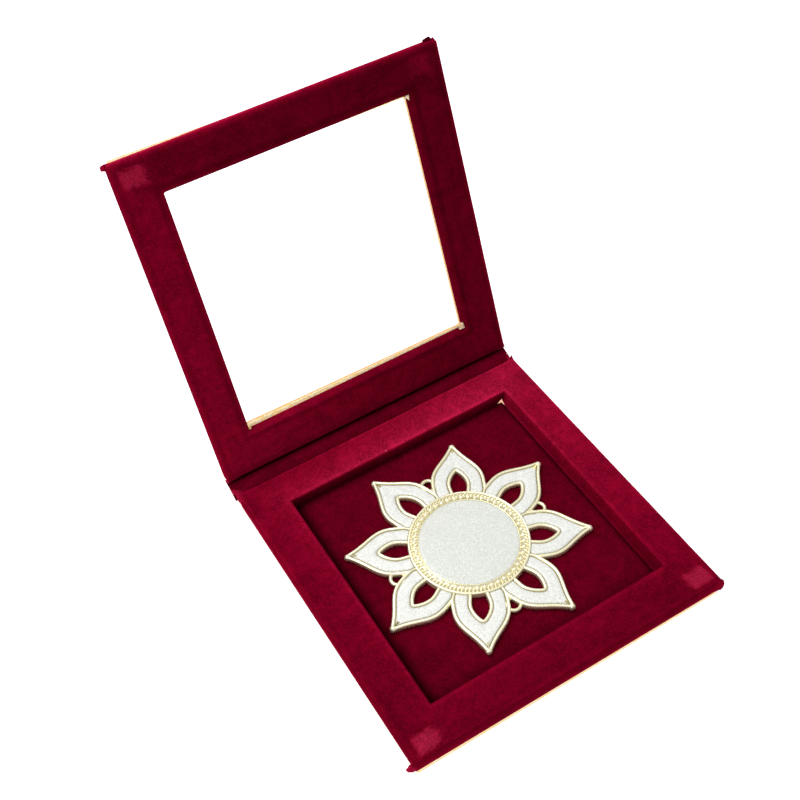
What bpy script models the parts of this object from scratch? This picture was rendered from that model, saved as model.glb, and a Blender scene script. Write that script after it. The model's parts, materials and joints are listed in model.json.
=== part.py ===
"""Offering plate: a petalled casting that lies in a book-style velvet case with a windowed lid.

+X runs along the hinge, +Y from the free edge to the hinge, +Z up. The origin is the centre of the
case's underside. Lengths are in metres and angles in degrees. The case stands open.
"""

import math

import bmesh
import bpy
from mathutils import Matrix, Vector

MM = 0.001
GAP = 0.3 * MM

# Case. The lid is a little larger than the base and overhangs it at the free edge.
BASE_WIDTH = 170 * MM
BASE_DEPTH = 169.6 * MM
BASE_HEIGHT = 10.8 * MM
BASE_SIDE_BORDER = 20.1 * MM
BASE_FREE_BORDER = 18.7 * MM
BASE_HINGE_BORDER = 18.7 * MM
LID_WIDTH = 172 * MM
LID_DEPTH = 172.8 * MM
LID_HEIGHT = 7.0 * MM
LID_SIDE_BORDER = 19.9 * MM
LID_FREE_BORDER = 18.9 * MM
LID_HINGE_BORDER = 21.4 * MM
LID_HINGE_EDGE = 84.9 * MM
BOARD_THICKNESS = 1.8 * MM
BOARD_INSET = 1.2 * MM
BOARD_OVERHANG = 0.7 * MM
BOARD_CORNER = 1.5 * MM
WRAP_THICKNESS = 0.8 * MM
WRAP_ROUNDING = 0.55 * MM
FLOOR_PAD_THICKNESS = 0.7 * MM
WINDOW_LEDGE = 0.5 * MM

# Closing magnets, one near each free corner of base and lid
MAGNET_RADIUS = 5.5 * MM
MAGNET_THICKNESS = 1.8 * MM
MAGNET_X = 76 * MM
MAGNET_Y = -76.5 * MM

# Hinges: the spine turns on the base, and the lid turns on the spine
HINGE_SETBACK = 1.4 * MM
SPINE_AXIS_HEIGHT = 3.0 * MM
LID_AXIS_HEIGHT = 15.1 * MM
SPINE_BACKWARD_LEAN = 70.4
LID_OPENING = 41.7
SPINE_WIDTH = 168.4 * MM
SPINE_BOARD_THICKNESS = 2.0 * MM
SPINE_END_CLEARANCE = 0.5 * MM
HINGE_STRIP_THICKNESS = 1.2 * MM

# Plate
PETALS = 8
PLATE_TURN = -2.3
PLATE_CENTRE = (-0.6 * MM, -0.9 * MM)
PLATE_THICKNESS = 3.0 * MM
MEDALLION_RISE = 0.5 * MM
MEDALLION_RADIUS = 30.5 * MM
CENTRE_INLAY_RADIUS = 24.85 * MM
PETAL_TIP_RADIUS = 61.0 * MM
PETAL_TIP_ROUNDING = 0.95 * MM
PETAL_TIP_TURN = 55
PETAL_HALF_WIDTH = 14.05 * MM
PETAL_WIDEST_RADIUS = 37.0 * MM
PETAL_SHOULDER = 10.8 * MM
PETAL_NECK = (49.6 * MM, 7.0 * MM)
PETAL_RIM = 2.4 * MM
PETAL_STEPS = 11
CUTOUT_TIP_RADIUS = 43.8 * MM
CUTOUT_HALF_WIDTH = 4.1 * MM
CUTOUT_ROOT_HALF_WIDTH = 3.2 * MM
CUTOUT_WIDEST_RADIUS = 36.0 * MM
CUTOUT_SHOULDER = 1.5 * MM
CUTOUT_NECK = (42.2 * MM, 3.2 * MM)
CUTOUT_STEPS = 6
INLAY_THICKNESS = 0.5 * MM
PETAL_POCKET_DEPTH = 1.1 * MM
CENTRE_POCKET_DEPTH = 1.2 * MM
LOOPS = 4
LOOP_RADIUS = 4.2 * MM
LOOP_BAR = 1.5 * MM
LOOP_CENTRE_RADIUS = 40.5 * MM
LOOP_BOTTOM = 0.7 * MM
LOOP_HEIGHT = 1.5 * MM
ROUND_STEPS = 96

# Places worked out from the sizes above
FRAME_BOTTOM = BOARD_THICKNESS + GAP
FLOOR_TOP = FRAME_BOTTOM + FLOOR_PAD_THICKNESS
LID_INNER = BASE_HEIGHT + GAP
LID_OUTER = LID_INNER + LID_HEIGHT
HINGE_Y = BASE_DEPTH / 2 + HINGE_SETBACK
PLATE_BOTTOM = FLOOR_TOP + GAP
PLATE_TOP = PLATE_BOTTOM + PLATE_THICKNESS
SECTOR = 2 * math.pi / PETALS

GOLD_PAPER = ("gold_paper", (0.83, 0.62, 0.24), 0.38, 0.85)
VELVET = ("red_velvet", (0.26, 0.005, 0.022), 0.95, 0.0)
GREYBOARD = ("greyboard", (0.36, 0.33, 0.30), 0.9, 0.0)
MAGNET_STEEL = ("magnet_steel", (0.62, 0.62, 0.64), 0.3, 1.0)
GOLD_PLATE = ("gold_plating", (0.93, 0.76, 0.42), 0.22, 1.0)
GLITTER = ("silver_glitter", (0.84, 0.86, 0.84), 0.45, 0.3)


def clear_scene():
    for item in list(bpy.data.objects):
        bpy.data.objects.remove(item)


def material_for(finish):
    name, colour, roughness, metallic = finish
    found = bpy.data.materials.get(name)
    if found:
        return found
    made = bpy.data.materials.new(name)
    made.use_nodes = True
    shader = made.node_tree.nodes["Principled BSDF"]
    shader.inputs["Base Color"].default_value = (*colour, 1.0)
    shader.inputs["Roughness"].default_value = roughness
    shader.inputs["Metallic"].default_value = metallic
    return made


def add_object(name, mesh, finish, parent):
    made = bpy.data.objects.new(name, mesh)
    bpy.context.scene.collection.objects.link(made)
    made.data.materials.append(material_for(finish))
    if parent:
        made.parent = parent
    return made


def add_empty(name, location, parent=None):
    made = bpy.data.objects.new(name, None)
    bpy.context.scene.collection.objects.link(made)
    made.empty_display_size = 0.02
    made.location = location
    made.parent = parent
    return made


def mesh_from(name, shape):
    """Turns a bmesh into a mesh with its faces pointing out."""
    bmesh.ops.remove_doubles(shape, verts=shape.verts, dist=1e-6)
    bmesh.ops.recalc_face_normals(shape, faces=shape.faces)
    mesh = bpy.data.meshes.new(name)
    shape.to_mesh(mesh)
    shape.free()
    return mesh


def add_prism(shape, outlines, bottom, top):
    """Extrudes a flat outline, with any holes, from bottom to top."""
    edges = []
    for outline in outlines:
        corners = [shape.verts.new((x, y, bottom)) for x, y in outline]
        for first, second in zip(corners, corners[1:] + corners[:1]):
            edges.append(shape.edges.new((first, second)))
    filled = bmesh.ops.triangle_fill(shape, use_beauty=True, use_dissolve=False, edges=edges)
    faces = [item for item in filled["geom"] if isinstance(item, bmesh.types.BMFace)]
    raised = bmesh.ops.extrude_face_region(shape, geom=faces, use_keep_orig=True)
    moved = [item for item in raised["geom"] if isinstance(item, bmesh.types.BMVert)]
    bmesh.ops.translate(shape, verts=moved, vec=(0, 0, top - bottom))


def rectangle(x_low, x_high, y_low, y_high):
    return [(x_low, y_low), (x_high, y_low), (x_high, y_high), (x_low, y_high)]


def inset(span, distance):
    """A rectangle's span moved in on every side, or out where distance is negative."""
    x_low, x_high, y_low, y_high = span
    return (x_low + distance, x_high - distance, y_low + distance, y_high - distance)


def circle(radius, steps, centre=(0, 0)):
    turns = [2 * math.pi * step / steps for step in range(steps)]
    return [(centre[0] + radius * math.cos(t), centre[1] + radius * math.sin(t)) for t in turns]


def rounded_rectangle(x_low, x_high, y_low, y_high, radius, steps=4):
    corners = [
        (x_high - radius, y_high - radius, 0),
        (x_low + radius, y_high - radius, 90),
        (x_low + radius, y_low + radius, 180),
        (x_high - radius, y_low + radius, 270),
    ]
    outline = []
    for x, y, start in corners:
        for step in range(steps + 1):
            turn = math.radians(start + 90 * step / steps)
            outline.append((x + radius * math.cos(turn), y + radius * math.sin(turn)))
    return outline


def prism(name, outlines, bottom, top):
    shape = bmesh.new()
    add_prism(shape, outlines, bottom, top)
    return mesh_from(name, shape)


def bevel_edges(item, width, segments):
    modifier = item.modifiers.new("rounding", "BEVEL")
    modifier.width = width
    modifier.segments = segments
    modifier.limit_method = "ANGLE"
    modifier.angle_limit = math.radians(50)


def cut(item, cutter, operation="DIFFERENCE"):
    """Adds a Boolean with a cutter that is itself left out of the model."""
    cutter.hide_render = True
    cutter.display_type = "WIRE"
    modifier = item.modifiers.new(cutter.name, "BOOLEAN")
    modifier.operation = operation
    modifier.object = cutter
    modifier.solver = "EXACT"


def smooth(item, degrees=35):
    item.data.shade_smooth()
    item.data.set_sharp_from_angle(angle=math.radians(degrees))


# ---- case ----


def base_span():
    return (-BASE_WIDTH / 2, BASE_WIDTH / 2, -BASE_DEPTH / 2, BASE_DEPTH / 2)


def base_opening():
    x_low, x_high, y_low, y_high = base_span()
    return (
        x_low + BASE_SIDE_BORDER,
        x_high - BASE_SIDE_BORDER,
        y_low + BASE_FREE_BORDER,
        y_high - BASE_HINGE_BORDER,
    )


def lid_span():
    """The lid's frame where it lies when the case is closed."""
    return (-LID_WIDTH / 2, LID_WIDTH / 2, LID_HINGE_EDGE - LID_DEPTH, LID_HINGE_EDGE)


def lid_opening():
    x_low, x_high, y_low, y_high = lid_span()
    return (
        x_low + LID_SIDE_BORDER,
        x_high - LID_SIDE_BORDER,
        y_low + LID_FREE_BORDER,
        y_high - LID_HINGE_BORDER,
    )


def board_outline(span):
    """A cover board: proud of the velvet at its free edge, and inside it at the other three."""
    x_low, x_high, y_low, y_high = span
    return rounded_rectangle(
        x_low + BOARD_INSET,
        x_high - BOARD_INSET,
        y_low - BOARD_OVERHANG,
        y_high - GAP,
        BOARD_CORNER,
    )


def add_velvet_wrap(name, span, opening, bottom, top, velvet_up, parent):
    """The velvet over a frame: its face, its outside and the walls of its opening."""
    outlines = [rectangle(*span), rectangle(*opening)]
    wrap = add_object(name, prism(name, outlines, bottom, top), VELVET, parent)
    bevel_edges(wrap, WRAP_ROUNDING, 2)
    low = bottom - GAP if velvet_up else bottom + WRAP_THICKNESS
    high = top - WRAP_THICKNESS if velvet_up else top + GAP
    outlines = [
        rectangle(*inset(span, WRAP_THICKNESS)),
        rectangle(*inset(opening, -WRAP_THICKNESS)),
    ]
    channel = prism(name + "_channel", outlines, low, high)
    cut(wrap, add_object(name + "_channel", channel, VELVET, parent))


def add_rails(prefix, span, opening, bottom, top, velvet_up, parent):
    """Four core strips inside the velvet. Front and back run full length, the sides fit between."""
    left, right, front, back = inset(span, WRAP_THICKNESS + GAP)
    inner_left, inner_right, inner_front, inner_back = inset(opening, -WRAP_THICKNESS - GAP)
    places = {
        "front": (left, right, front, inner_front),
        "back": (left, right, inner_back, back),
        "left": (left, inner_left, inner_front + GAP, inner_back - GAP),
        "right": (inner_right, right, inner_front + GAP, inner_back - GAP),
    }
    rails = {}
    for side, outline in places.items():
        name = prefix + "_rail_" + side
        mesh = prism(name, [rectangle(*outline)], bottom, top)
        rails[side] = add_object(name, mesh, GREYBOARD, parent)
    add_magnets(prefix, rails["front"], bottom, top, velvet_up, parent)


def add_magnets(prefix, rail, bottom, top, velvet_up, parent):
    """Two disc magnets, each in a pocket that opens towards the velvet face."""
    depth = MAGNET_THICKNESS + GAP
    floor = top - depth if velvet_up else bottom + depth
    mouth = top + GAP if velvet_up else bottom - GAP
    pockets = bmesh.new()
    for side, x in (("left", -MAGNET_X), ("right", MAGNET_X)):
        centre = (x, MAGNET_Y)
        pocket = circle(MAGNET_RADIUS + GAP, 32, centre)
        add_prism(pockets, [pocket], min(floor, mouth), max(floor, mouth))
        start = floor + GAP if velvet_up else floor - GAP
        end = start + MAGNET_THICKNESS if velvet_up else start - MAGNET_THICKNESS
        name = prefix + "_magnet_" + side
        disc = prism(name, [circle(MAGNET_RADIUS, 32, centre)], min(start, end), max(start, end))
        smooth(add_object(name, disc, MAGNET_STEEL, parent))
    name = prefix + "_magnet_pockets"
    cut(rail, add_object(name, mesh_from(name, pockets), GREYBOARD, parent))


def add_board(name, outlines, bottom, parent):
    board = add_object(
        name, prism(name, outlines, bottom, bottom + BOARD_THICKNESS), GOLD_PAPER, parent
    )
    bevel_edges(board, 0.25 * MM, 1)


def add_base():
    span, opening = base_span(), base_opening()
    add_board("base_board", [board_outline(span)], 0, None)
    core_top = BASE_HEIGHT - WRAP_THICKNESS - GAP
    add_rails("base", span, opening, FRAME_BOTTOM, core_top, True, None)
    add_velvet_wrap("base_velvet_wrap", span, opening, FRAME_BOTTOM, BASE_HEIGHT, True, None)
    outline = rectangle(*inset(opening, GAP))
    pad = prism("base_floor_pad", [outline], FRAME_BOTTOM, FLOOR_TOP)
    add_object("base_floor_pad", pad, VELVET, None)
    add_hinge_strip("base_hinge_strip", BASE_DEPTH / 2, BOARD_THICKNESS / 2, None)


def add_hinge_strip(name, board_edge, middle, parent):
    """The paper that crosses the groove beside a cover board's hinge edge."""
    half = SPINE_WIDTH / 2
    outline = rectangle(-half, half, board_edge, HINGE_Y - 0.1 * MM)
    low = middle - HINGE_STRIP_THICKNESS / 2
    strip = prism(name, [outline], low, low + HINGE_STRIP_THICKNESS)
    add_object(name, strip, GOLD_PAPER, parent)


def add_spine(parent):
    """The spine as it stands when the case is closed: upright behind the base and the lid."""
    half = SPINE_WIDTH / 2
    bottom = SPINE_AXIS_HEIGHT + SPINE_END_CLEARANCE
    top = LID_AXIS_HEIGHT - SPINE_END_CLEARANCE
    face = HINGE_Y + GAP
    outline = rectangle(-half, half, face, face + SPINE_BOARD_THICKNESS)
    board = prism("spine_board", [outline], bottom, top)
    bevel_edges(add_object("spine_board", board, GOLD_PAPER, parent), 0.25 * MM, 1)
    outline = rectangle(-half, half, HINGE_Y - WRAP_THICKNESS, HINGE_Y)
    lining = prism("spine_lining", [outline], bottom, top)
    add_object("spine_lining", lining, VELVET, parent)


def add_lid(parent):
    """The lid as it lies when the case is closed, face down on the base."""
    span, opening = lid_span(), lid_opening()
    board_bottom = LID_OUTER - BOARD_THICKNESS
    window = rectangle(*inset(opening, WINDOW_LEDGE))
    add_board("lid_board", [board_outline(span), window], board_bottom, parent)
    top = board_bottom - GAP
    core_bottom = LID_INNER + WRAP_THICKNESS + GAP
    add_rails("lid", span, opening, core_bottom, top, False, parent)
    add_velvet_wrap("lid_velvet_wrap", span, opening, LID_INNER, top, False, parent)
    middle = LID_OUTER - BOARD_THICKNESS / 2
    add_hinge_strip("lid_hinge_strip", LID_HINGE_EDGE, middle, parent)


def place(item, axis_from, axis_to, degrees):
    """Hangs what was modelled round one axis on an empty at another, turned backwards about X."""
    item.location = axis_to
    item.rotation_euler = (math.radians(-degrees), 0, 0)
    for child in item.children:
        child.matrix_parent_inverse = Matrix.Translation(-Vector(axis_from))


def add_case():
    add_base()
    spine_axis = (0, HINGE_Y, SPINE_AXIS_HEIGHT)
    lid_axis = (0, HINGE_Y, LID_AXIS_HEIGHT)
    spine_hinge = add_empty("spine_hinge", spine_axis)
    add_spine(spine_hinge)
    place(spine_hinge, spine_axis, spine_axis, SPINE_BACKWARD_LEAN)
    lean = math.radians(SPINE_BACKWARD_LEAN)
    length = LID_AXIS_HEIGHT - SPINE_AXIS_HEIGHT
    lid_axis_open = (
        0,
        HINGE_Y + length * math.sin(lean),
        SPINE_AXIS_HEIGHT + length * math.cos(lean),
    )
    lid_hinge = add_empty("lid_hinge", lid_axis_open)
    add_lid(lid_hinge)
    place(lid_hinge, lid_axis, lid_axis_open, SPINE_BACKWARD_LEAN + LID_OPENING)


# ---- plate ----


def bezier(start, start_handle, end_handle, end, steps):
    points = []
    for step in range(steps + 1):
        t = step / steps
        weights = ((1 - t) ** 3, 3 * t * (1 - t) ** 2, 3 * t * t * (1 - t), t ** 3)
        knots = (start, start_handle, end_handle, end)
        points.append(tuple(sum(w * k[i] for w, k in zip(weights, knots)) for i in (0, 1)))
    return points


def petal_side():
    """One side of a petal, from its root to its tip, as (distance along the petal, half width)."""
    tip_centre = PETAL_TIP_RADIUS - PETAL_TIP_ROUNDING
    turn = math.radians(PETAL_TIP_TURN)
    tip_start = (
        tip_centre + PETAL_TIP_ROUNDING * math.cos(turn),
        PETAL_TIP_ROUNDING * math.sin(turn),
    )
    widest = (PETAL_WIDEST_RADIUS, PETAL_HALF_WIDTH)
    shoulder = (PETAL_WIDEST_RADIUS + PETAL_SHOULDER, PETAL_HALF_WIDTH)
    root = (MEDALLION_RADIUS * 0.9, PETAL_HALF_WIDTH * 0.9)
    root_handle = (MEDALLION_RADIUS, PETAL_HALF_WIDTH)
    points = bezier(root, root_handle, root_handle, widest, 5)[:-1]
    points += bezier(widest, shoulder, PETAL_NECK, tip_start, PETAL_STEPS)
    points.append((tip_centre + PETAL_TIP_ROUNDING * math.cos(turn / 2),
                   PETAL_TIP_ROUNDING * math.sin(turn / 2)))
    points.append((PETAL_TIP_RADIUS, 0))
    return points


def cutout_side():
    """One side of a petal's cut-out, from the medallion to its point."""
    root = (math.sqrt(MEDALLION_RADIUS ** 2 - CUTOUT_ROOT_HALF_WIDTH ** 2) + GAP,
            CUTOUT_ROOT_HALF_WIDTH)
    widest = (CUTOUT_WIDEST_RADIUS, CUTOUT_HALF_WIDTH)
    before = (CUTOUT_WIDEST_RADIUS - CUTOUT_SHOULDER, CUTOUT_HALF_WIDTH)
    after = (CUTOUT_WIDEST_RADIUS + CUTOUT_SHOULDER, CUTOUT_HALF_WIDTH)
    points = bezier(root, before, before, widest, 3)[:-1]
    return points + bezier(widest, after, CUTOUT_NECK, (CUTOUT_TIP_RADIUS, 0), CUTOUT_STEPS)


def offset(points, distance):
    """Moves an open outline sideways: towards the petal's axis when distance is positive."""
    moved = []
    last = len(points) - 1
    for index, (x, y) in enumerate(points):
        before = points[max(index - 1, 0)]
        after = points[min(index + 1, last)]
        along = Vector((after[0] - before[0], after[1] - before[1])).normalized()
        moved.append((x + distance * along.y, y - distance * along.x))
    return moved


def stop_at_axis(points):
    """Ends an outline where it first crosses the petal's axis."""
    kept = [points[0]]
    for point in points[1:]:
        x, y = kept[-1]
        if point[1] <= 0:
            share = y / (y - point[1])
            return kept + [(x + share * (point[0] - x), 0)]
        kept.append(point)
    return kept


def run_to_axis(points):
    """Runs an outline that ends short of the petal's axis on, along its last edge, to the axis."""
    (x, y), (end_x, end_y) = points[-2:]
    return points + [(end_x + (end_x - x) * end_y / (y - end_y), 0)]


def start_at_radius(points, radius):
    """Starts an outline where it leaves the given radius."""
    for index, (first, second) in enumerate(zip(points, points[1:])):
        low, high = math.hypot(*first), math.hypot(*second)
        if low < radius <= high:
            share = (radius - low) / (high - low)
            start = tuple(a + share * (b - a) for a, b in zip(first, second))
            return [start] + points[index + 1:]
    return points


def inlay_outline(rim):
    """A petal's glitter panel: a horseshoe between the petal's rim and the cut-out's rim."""
    outer = stop_at_axis(offset(petal_side(), rim))
    outer = start_at_radius(outer, MEDALLION_RADIUS + rim - PETAL_RIM + GAP)
    inner = run_to_axis(offset(cutout_side(), -rim)[:-1])
    inner = start_at_radius(inner, MEDALLION_RADIUS + rim - PETAL_RIM + GAP)
    left = [(x, -y) for x, y in reversed(outer[:-1])]
    inner_left = [(x, -y) for x, y in inner]
    inner_right = list(reversed(inner[:-1]))
    return outer + left + inner_left + inner_right


def cutout_outline():
    side = cutout_side()
    return side + [(x, -y) for x, y in reversed(side[:-1])]


def start_at_valley(side):
    """Starts a petal's side where it meets the next petal."""
    slope = math.tan(SECTOR / 2)
    for index, (first, second) in enumerate(zip(side, side[1:])):
        beyond, within = first[1] - slope * first[0], second[1] - slope * second[0]
        if beyond > 0 >= within:
            share = beyond / (beyond - within)
            start = tuple(a + share * (b - a) for a, b in zip(first, second))
            return [start] + side[index + 1:]
    raise ValueError("the petals do not meet")


def petal_outline():
    """A petal from one valley, round its tip, to just short of the next valley."""
    left = start_at_valley(petal_side())
    right = [(x, -y) for x, y in left]
    return right[:-1] + left[:0:-1]


def turned(points, angle):
    cos, sin = math.cos(angle), math.sin(angle)
    return [(x * cos - y * sin, x * sin + y * cos) for x, y in points]


def petal_angles():
    first = math.radians(PLATE_TURN) + SECTOR / 2
    return [first + SECTOR * index for index in range(PETALS)]


def casting_outline():
    outline = []
    for angle in petal_angles():
        outline += turned(petal_outline(), angle)
    return outline


def plate_extras():
    """The raised medallion and the four low loops, which are cast in one with the petals."""
    shape = bmesh.new()
    start = PLATE_BOTTOM + PLATE_THICKNESS / 3
    add_prism(shape, [circle(MEDALLION_RADIUS, ROUND_STEPS)], start, PLATE_TOP + MEDALLION_RISE)
    for index in range(LOOPS):
        turn = math.radians(PLATE_TURN) + 2 * math.pi * index / LOOPS
        centre = (LOOP_CENTRE_RADIUS * math.cos(turn), LOOP_CENTRE_RADIUS * math.sin(turn))
        rings = [circle(LOOP_RADIUS, 24, centre), circle(LOOP_RADIUS - LOOP_BAR, 24, centre)]
        bottom = PLATE_BOTTOM + LOOP_BOTTOM
        add_prism(shape, rings, bottom, bottom + LOOP_HEIGHT)
    return mesh_from("plate_extras", shape)


def plate_pockets():
    shape = bmesh.new()
    above = PLATE_TOP + MEDALLION_RISE + GAP
    floor = PLATE_TOP + MEDALLION_RISE - CENTRE_POCKET_DEPTH
    add_prism(shape, [circle(CENTRE_INLAY_RADIUS + GAP, ROUND_STEPS)], floor, above)
    for angle in petal_angles():
        outline = turned(inlay_outline(PETAL_RIM), angle)
        add_prism(shape, [outline], PLATE_TOP - PETAL_POCKET_DEPTH, above)
    return mesh_from("plate_pockets", shape)


def add_plate():
    hub = add_empty("plate_hub", (*PLATE_CENTRE, 0))
    angles = petal_angles()
    outlines = [casting_outline()] + [turned(cutout_outline(), angle) for angle in angles]
    casting = add_object(
        "plate_casting", prism("plate_casting", outlines, PLATE_BOTTOM, PLATE_TOP), GOLD_PLATE, hub
    )
    cut(casting, add_object("plate_extras", plate_extras(), GOLD_PLATE, hub), "UNION")
    cut(casting, add_object("plate_pockets", plate_pockets(), GOLD_PLATE, hub))
    bottom = PLATE_TOP - PETAL_POCKET_DEPTH + GAP
    for number, angle in enumerate(angles, start=1):
        name = "petal_inlay_" + str(number)
        outline = turned(inlay_outline(PETAL_RIM + GAP), angle)
        panel = prism(name, [outline], bottom, bottom + INLAY_THICKNESS)
        add_object(name, panel, GLITTER, hub)
    bottom = PLATE_TOP + MEDALLION_RISE - CENTRE_POCKET_DEPTH + GAP
    disc = circle(CENTRE_INLAY_RADIUS, ROUND_STEPS)
    centre = prism("centre_inlay", [disc], bottom, bottom + INLAY_THICKNESS)
    smooth(add_object("centre_inlay", centre, GLITTER, hub))


clear_scene()
add_case()
add_plate()
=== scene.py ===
"""Looks of the offering plate and its presentation case: velvet, gold foil paper, gold casting, glitter."""
import json
import math

import bmesh
import bpy
import numpy as np
from mathutils import Matrix, Vector, noise


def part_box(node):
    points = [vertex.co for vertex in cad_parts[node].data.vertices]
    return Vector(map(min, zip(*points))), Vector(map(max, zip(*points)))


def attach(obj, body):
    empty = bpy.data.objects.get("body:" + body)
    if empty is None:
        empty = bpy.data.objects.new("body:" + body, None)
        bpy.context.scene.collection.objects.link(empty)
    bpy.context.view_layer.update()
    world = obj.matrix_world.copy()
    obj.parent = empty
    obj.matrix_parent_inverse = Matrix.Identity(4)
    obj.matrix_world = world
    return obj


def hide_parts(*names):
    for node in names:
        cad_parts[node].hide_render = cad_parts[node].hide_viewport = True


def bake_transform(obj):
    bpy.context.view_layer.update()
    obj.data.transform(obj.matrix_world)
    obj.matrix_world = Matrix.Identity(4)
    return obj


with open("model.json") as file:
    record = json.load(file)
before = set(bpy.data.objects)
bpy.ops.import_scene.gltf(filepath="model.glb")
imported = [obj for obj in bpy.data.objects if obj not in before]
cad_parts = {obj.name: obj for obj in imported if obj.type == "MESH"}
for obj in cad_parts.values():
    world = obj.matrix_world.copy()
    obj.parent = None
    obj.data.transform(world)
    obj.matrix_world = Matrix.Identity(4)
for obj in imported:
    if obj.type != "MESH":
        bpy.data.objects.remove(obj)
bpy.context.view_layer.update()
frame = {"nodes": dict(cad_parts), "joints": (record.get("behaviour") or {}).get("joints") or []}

MM = 0.001

# ---------------------------------------------------------------- places taken from the frame

JOINTS = {joint["name"]: joint for joint in frame["joints"]}
BASE_LOW, BASE_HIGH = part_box("base_velvet_wrap")
SPINE_AXIS = Vector(JOINTS["spine_fold"]["pos_m"])
LID_AXIS = Vector(JOINTS["lid_fold"]["pos_m"])
SPINE_LEAN = math.radians(-JOINTS["spine_fold"]["range_deg"][0])
LID_LEAN = SPINE_LEAN - math.radians(JOINTS["lid_fold"]["range_deg"][0])
LID_AXIS_CLOSED = SPINE_AXIS + Vector((0, 0, (LID_AXIS - SPINE_AXIS).length))


def hinge_turn(place, home, angle):
    """Turns a closed-case shape about X by angle round home, and carries home to place."""
    turn = Matrix.Rotation(-angle, 4, "X")
    return Matrix.Translation(place) @ turn @ Matrix.Translation(-home)


SPINE_PLACE = hinge_turn(SPINE_AXIS, SPINE_AXIS, SPINE_LEAN)
LID_PLACE = hinge_turn(LID_AXIS, LID_AXIS_CLOSED, LID_LEAN)


def closed_box(node, place):
    """A node's lowest and highest corners with the case closed."""
    back = place.inverted()
    spots = np.array([back @ vertex.co for vertex in frame["nodes"][node].data.vertices])
    return Vector(spots.min(0)), Vector(spots.max(0))


LID_LOW, LID_HIGH = closed_box("lid_velvet_wrap", LID_PLACE)

# ---------------------------------------------------------------- mesh helpers


def make_piece(name, body, material, spots, faces, place=None, smooth=True, painted_shade=None):
    """A mesh object, in the frame's metres, that rides on a body (or on none when body is None)."""
    mesh = bpy.data.meshes.new(name)
    mesh.from_pydata([tuple(spot) for spot in spots], [], faces)
    if painted_shade is not None:
        mesh.attributes.new("painted_shade", "FLOAT", "POINT").data.foreach_set("value", painted_shade)
    shape = bmesh.new()
    shape.from_mesh(mesh)
    bmesh.ops.remove_doubles(shape, verts=shape.verts, dist=2e-6)
    bmesh.ops.dissolve_degenerate(shape, edges=shape.edges, dist=1e-6)
    bmesh.ops.recalc_face_normals(shape, faces=shape.faces)
    shape.to_mesh(mesh)
    shape.free()
    if place is not None:
        mesh.transform(place)
    mesh.polygons.foreach_set("use_smooth", [smooth] * len(mesh.polygons))
    piece = bpy.data.objects.new(name, mesh)
    bpy.context.scene.collection.objects.link(piece)
    mesh.materials.append(material)
    if body:
        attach(piece, body)
    return piece


def ring_points(span, radius, steps=84, corner_steps=6):
    """Points round a rectangle with rounded corners, the same number on every rectangle."""
    x_low, x_high, y_low, y_high = span
    centres = (
        (x_high - radius, y_low + radius, -90),
        (x_high - radius, y_high - radius, 0),
        (x_low + radius, y_high - radius, 90),
        (x_low + radius, y_low + radius, 180),
    )
    points = []
    for index, (x, y, start) in enumerate(centres):
        arc = [math.radians(start + 90 * step / corner_steps) for step in range(corner_steps + 1)]
        points += [(x + radius * math.cos(a), y + radius * math.sin(a)) for a in arc]
        next_x, next_y, next_start = centres[(index + 1) % 4]
        angle = math.radians(next_start)
        goal = (next_x + radius * math.cos(angle), next_y + radius * math.sin(angle))
        last = points[-1]
        for step in range(1, steps):
            share = step / steps
            points.append(tuple(a + (b - a) * share for a, b in zip(last, goal)))
    return points


def loop_faces(rings, count, start=0, closed=True):
    """Quads between rings of count points each, and when closed between the last ring and the first."""
    faces = []
    for ring in range(rings if closed else rings - 1):
        near, far = start + ring * count, start + (ring + 1) % rings * count
        for step in range(count):
            ahead = (step + 1) % count
            faces.append((near + step, near + ahead, far + ahead, far + step))
    return faces


def mix_span(first, second, share):
    return tuple(a + (b - a) * share for a, b in zip(first, second))


def grown(span, distance):
    x_low, x_high, y_low, y_high = span
    return (x_low - distance, x_high + distance, y_low - distance, y_high + distance)


def arc_steps(steps, radius):
    """(inset, drop) pairs round a quarter circle, from the wall to the face."""
    pairs = []
    for step in range(steps + 1):
        angle = math.pi / 2 * step / steps
        pairs.append((radius * (1 - math.cos(angle)), radius * (1 - math.sin(angle))))
    return pairs


def waver(spot, size, height, seed=0.0):
    """A smooth random push of at most about height, with humps about size wide."""
    return height * noise.noise(Vector(spot) / size + Vector((seed, 2.7 * seed, 5.1)))


# ---------------------------------------------------------------- material helpers


def feed(tree, value, socket):
    """Links a socket to another node's output, or sets it to a plain value."""
    if isinstance(value, bpy.types.NodeSocket):
        tree.links.new(value, socket)
    else:
        socket.default_value = value


def add_node(tree, kind, settings=(), **inputs):
    item = tree.nodes.new("ShaderNode" + kind)
    for key, value in dict(settings).items():
        setattr(item, key, value)
    for key, value in inputs.items():
        feed(tree, value, item.inputs[key.replace("_", " ")])
    return item


def mix_colour(tree, share, first, second):
    item = tree.nodes.new("ShaderNodeMix")
    item.data_type = "RGBA"
    for index, value in ((0, share), (6, first), (7, second)):
        feed(tree, value, item.inputs[index])
    return item.outputs[2]


def maths(tree, operation, *values):
    item = tree.nodes.new("ShaderNodeMath")
    item.operation = operation
    for index, value in enumerate(values):
        feed(tree, value, item.inputs[index])
    return item.outputs[0]


def spread(tree, value, low, high, to_low=0.0, to_high=1.0):
    item = add_node(tree, "MapRange", Value=value)
    for key, number in (("From Min", low), ("From Max", high), ("To Min", to_low), ("To Max", to_high)):
        item.inputs[key].default_value = number
    return item.outputs[0]


def noise_of(tree, place, size, detail=2.0, roughness=0.5, distortion=0.0):
    """Noise with humps about size metres wide."""
    item = add_node(tree, "TexNoise", Vector=place, Scale=1 / size, Detail=detail,
                    Roughness=roughness, Distortion=distortion)
    return item.outputs["Fac"]


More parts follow.
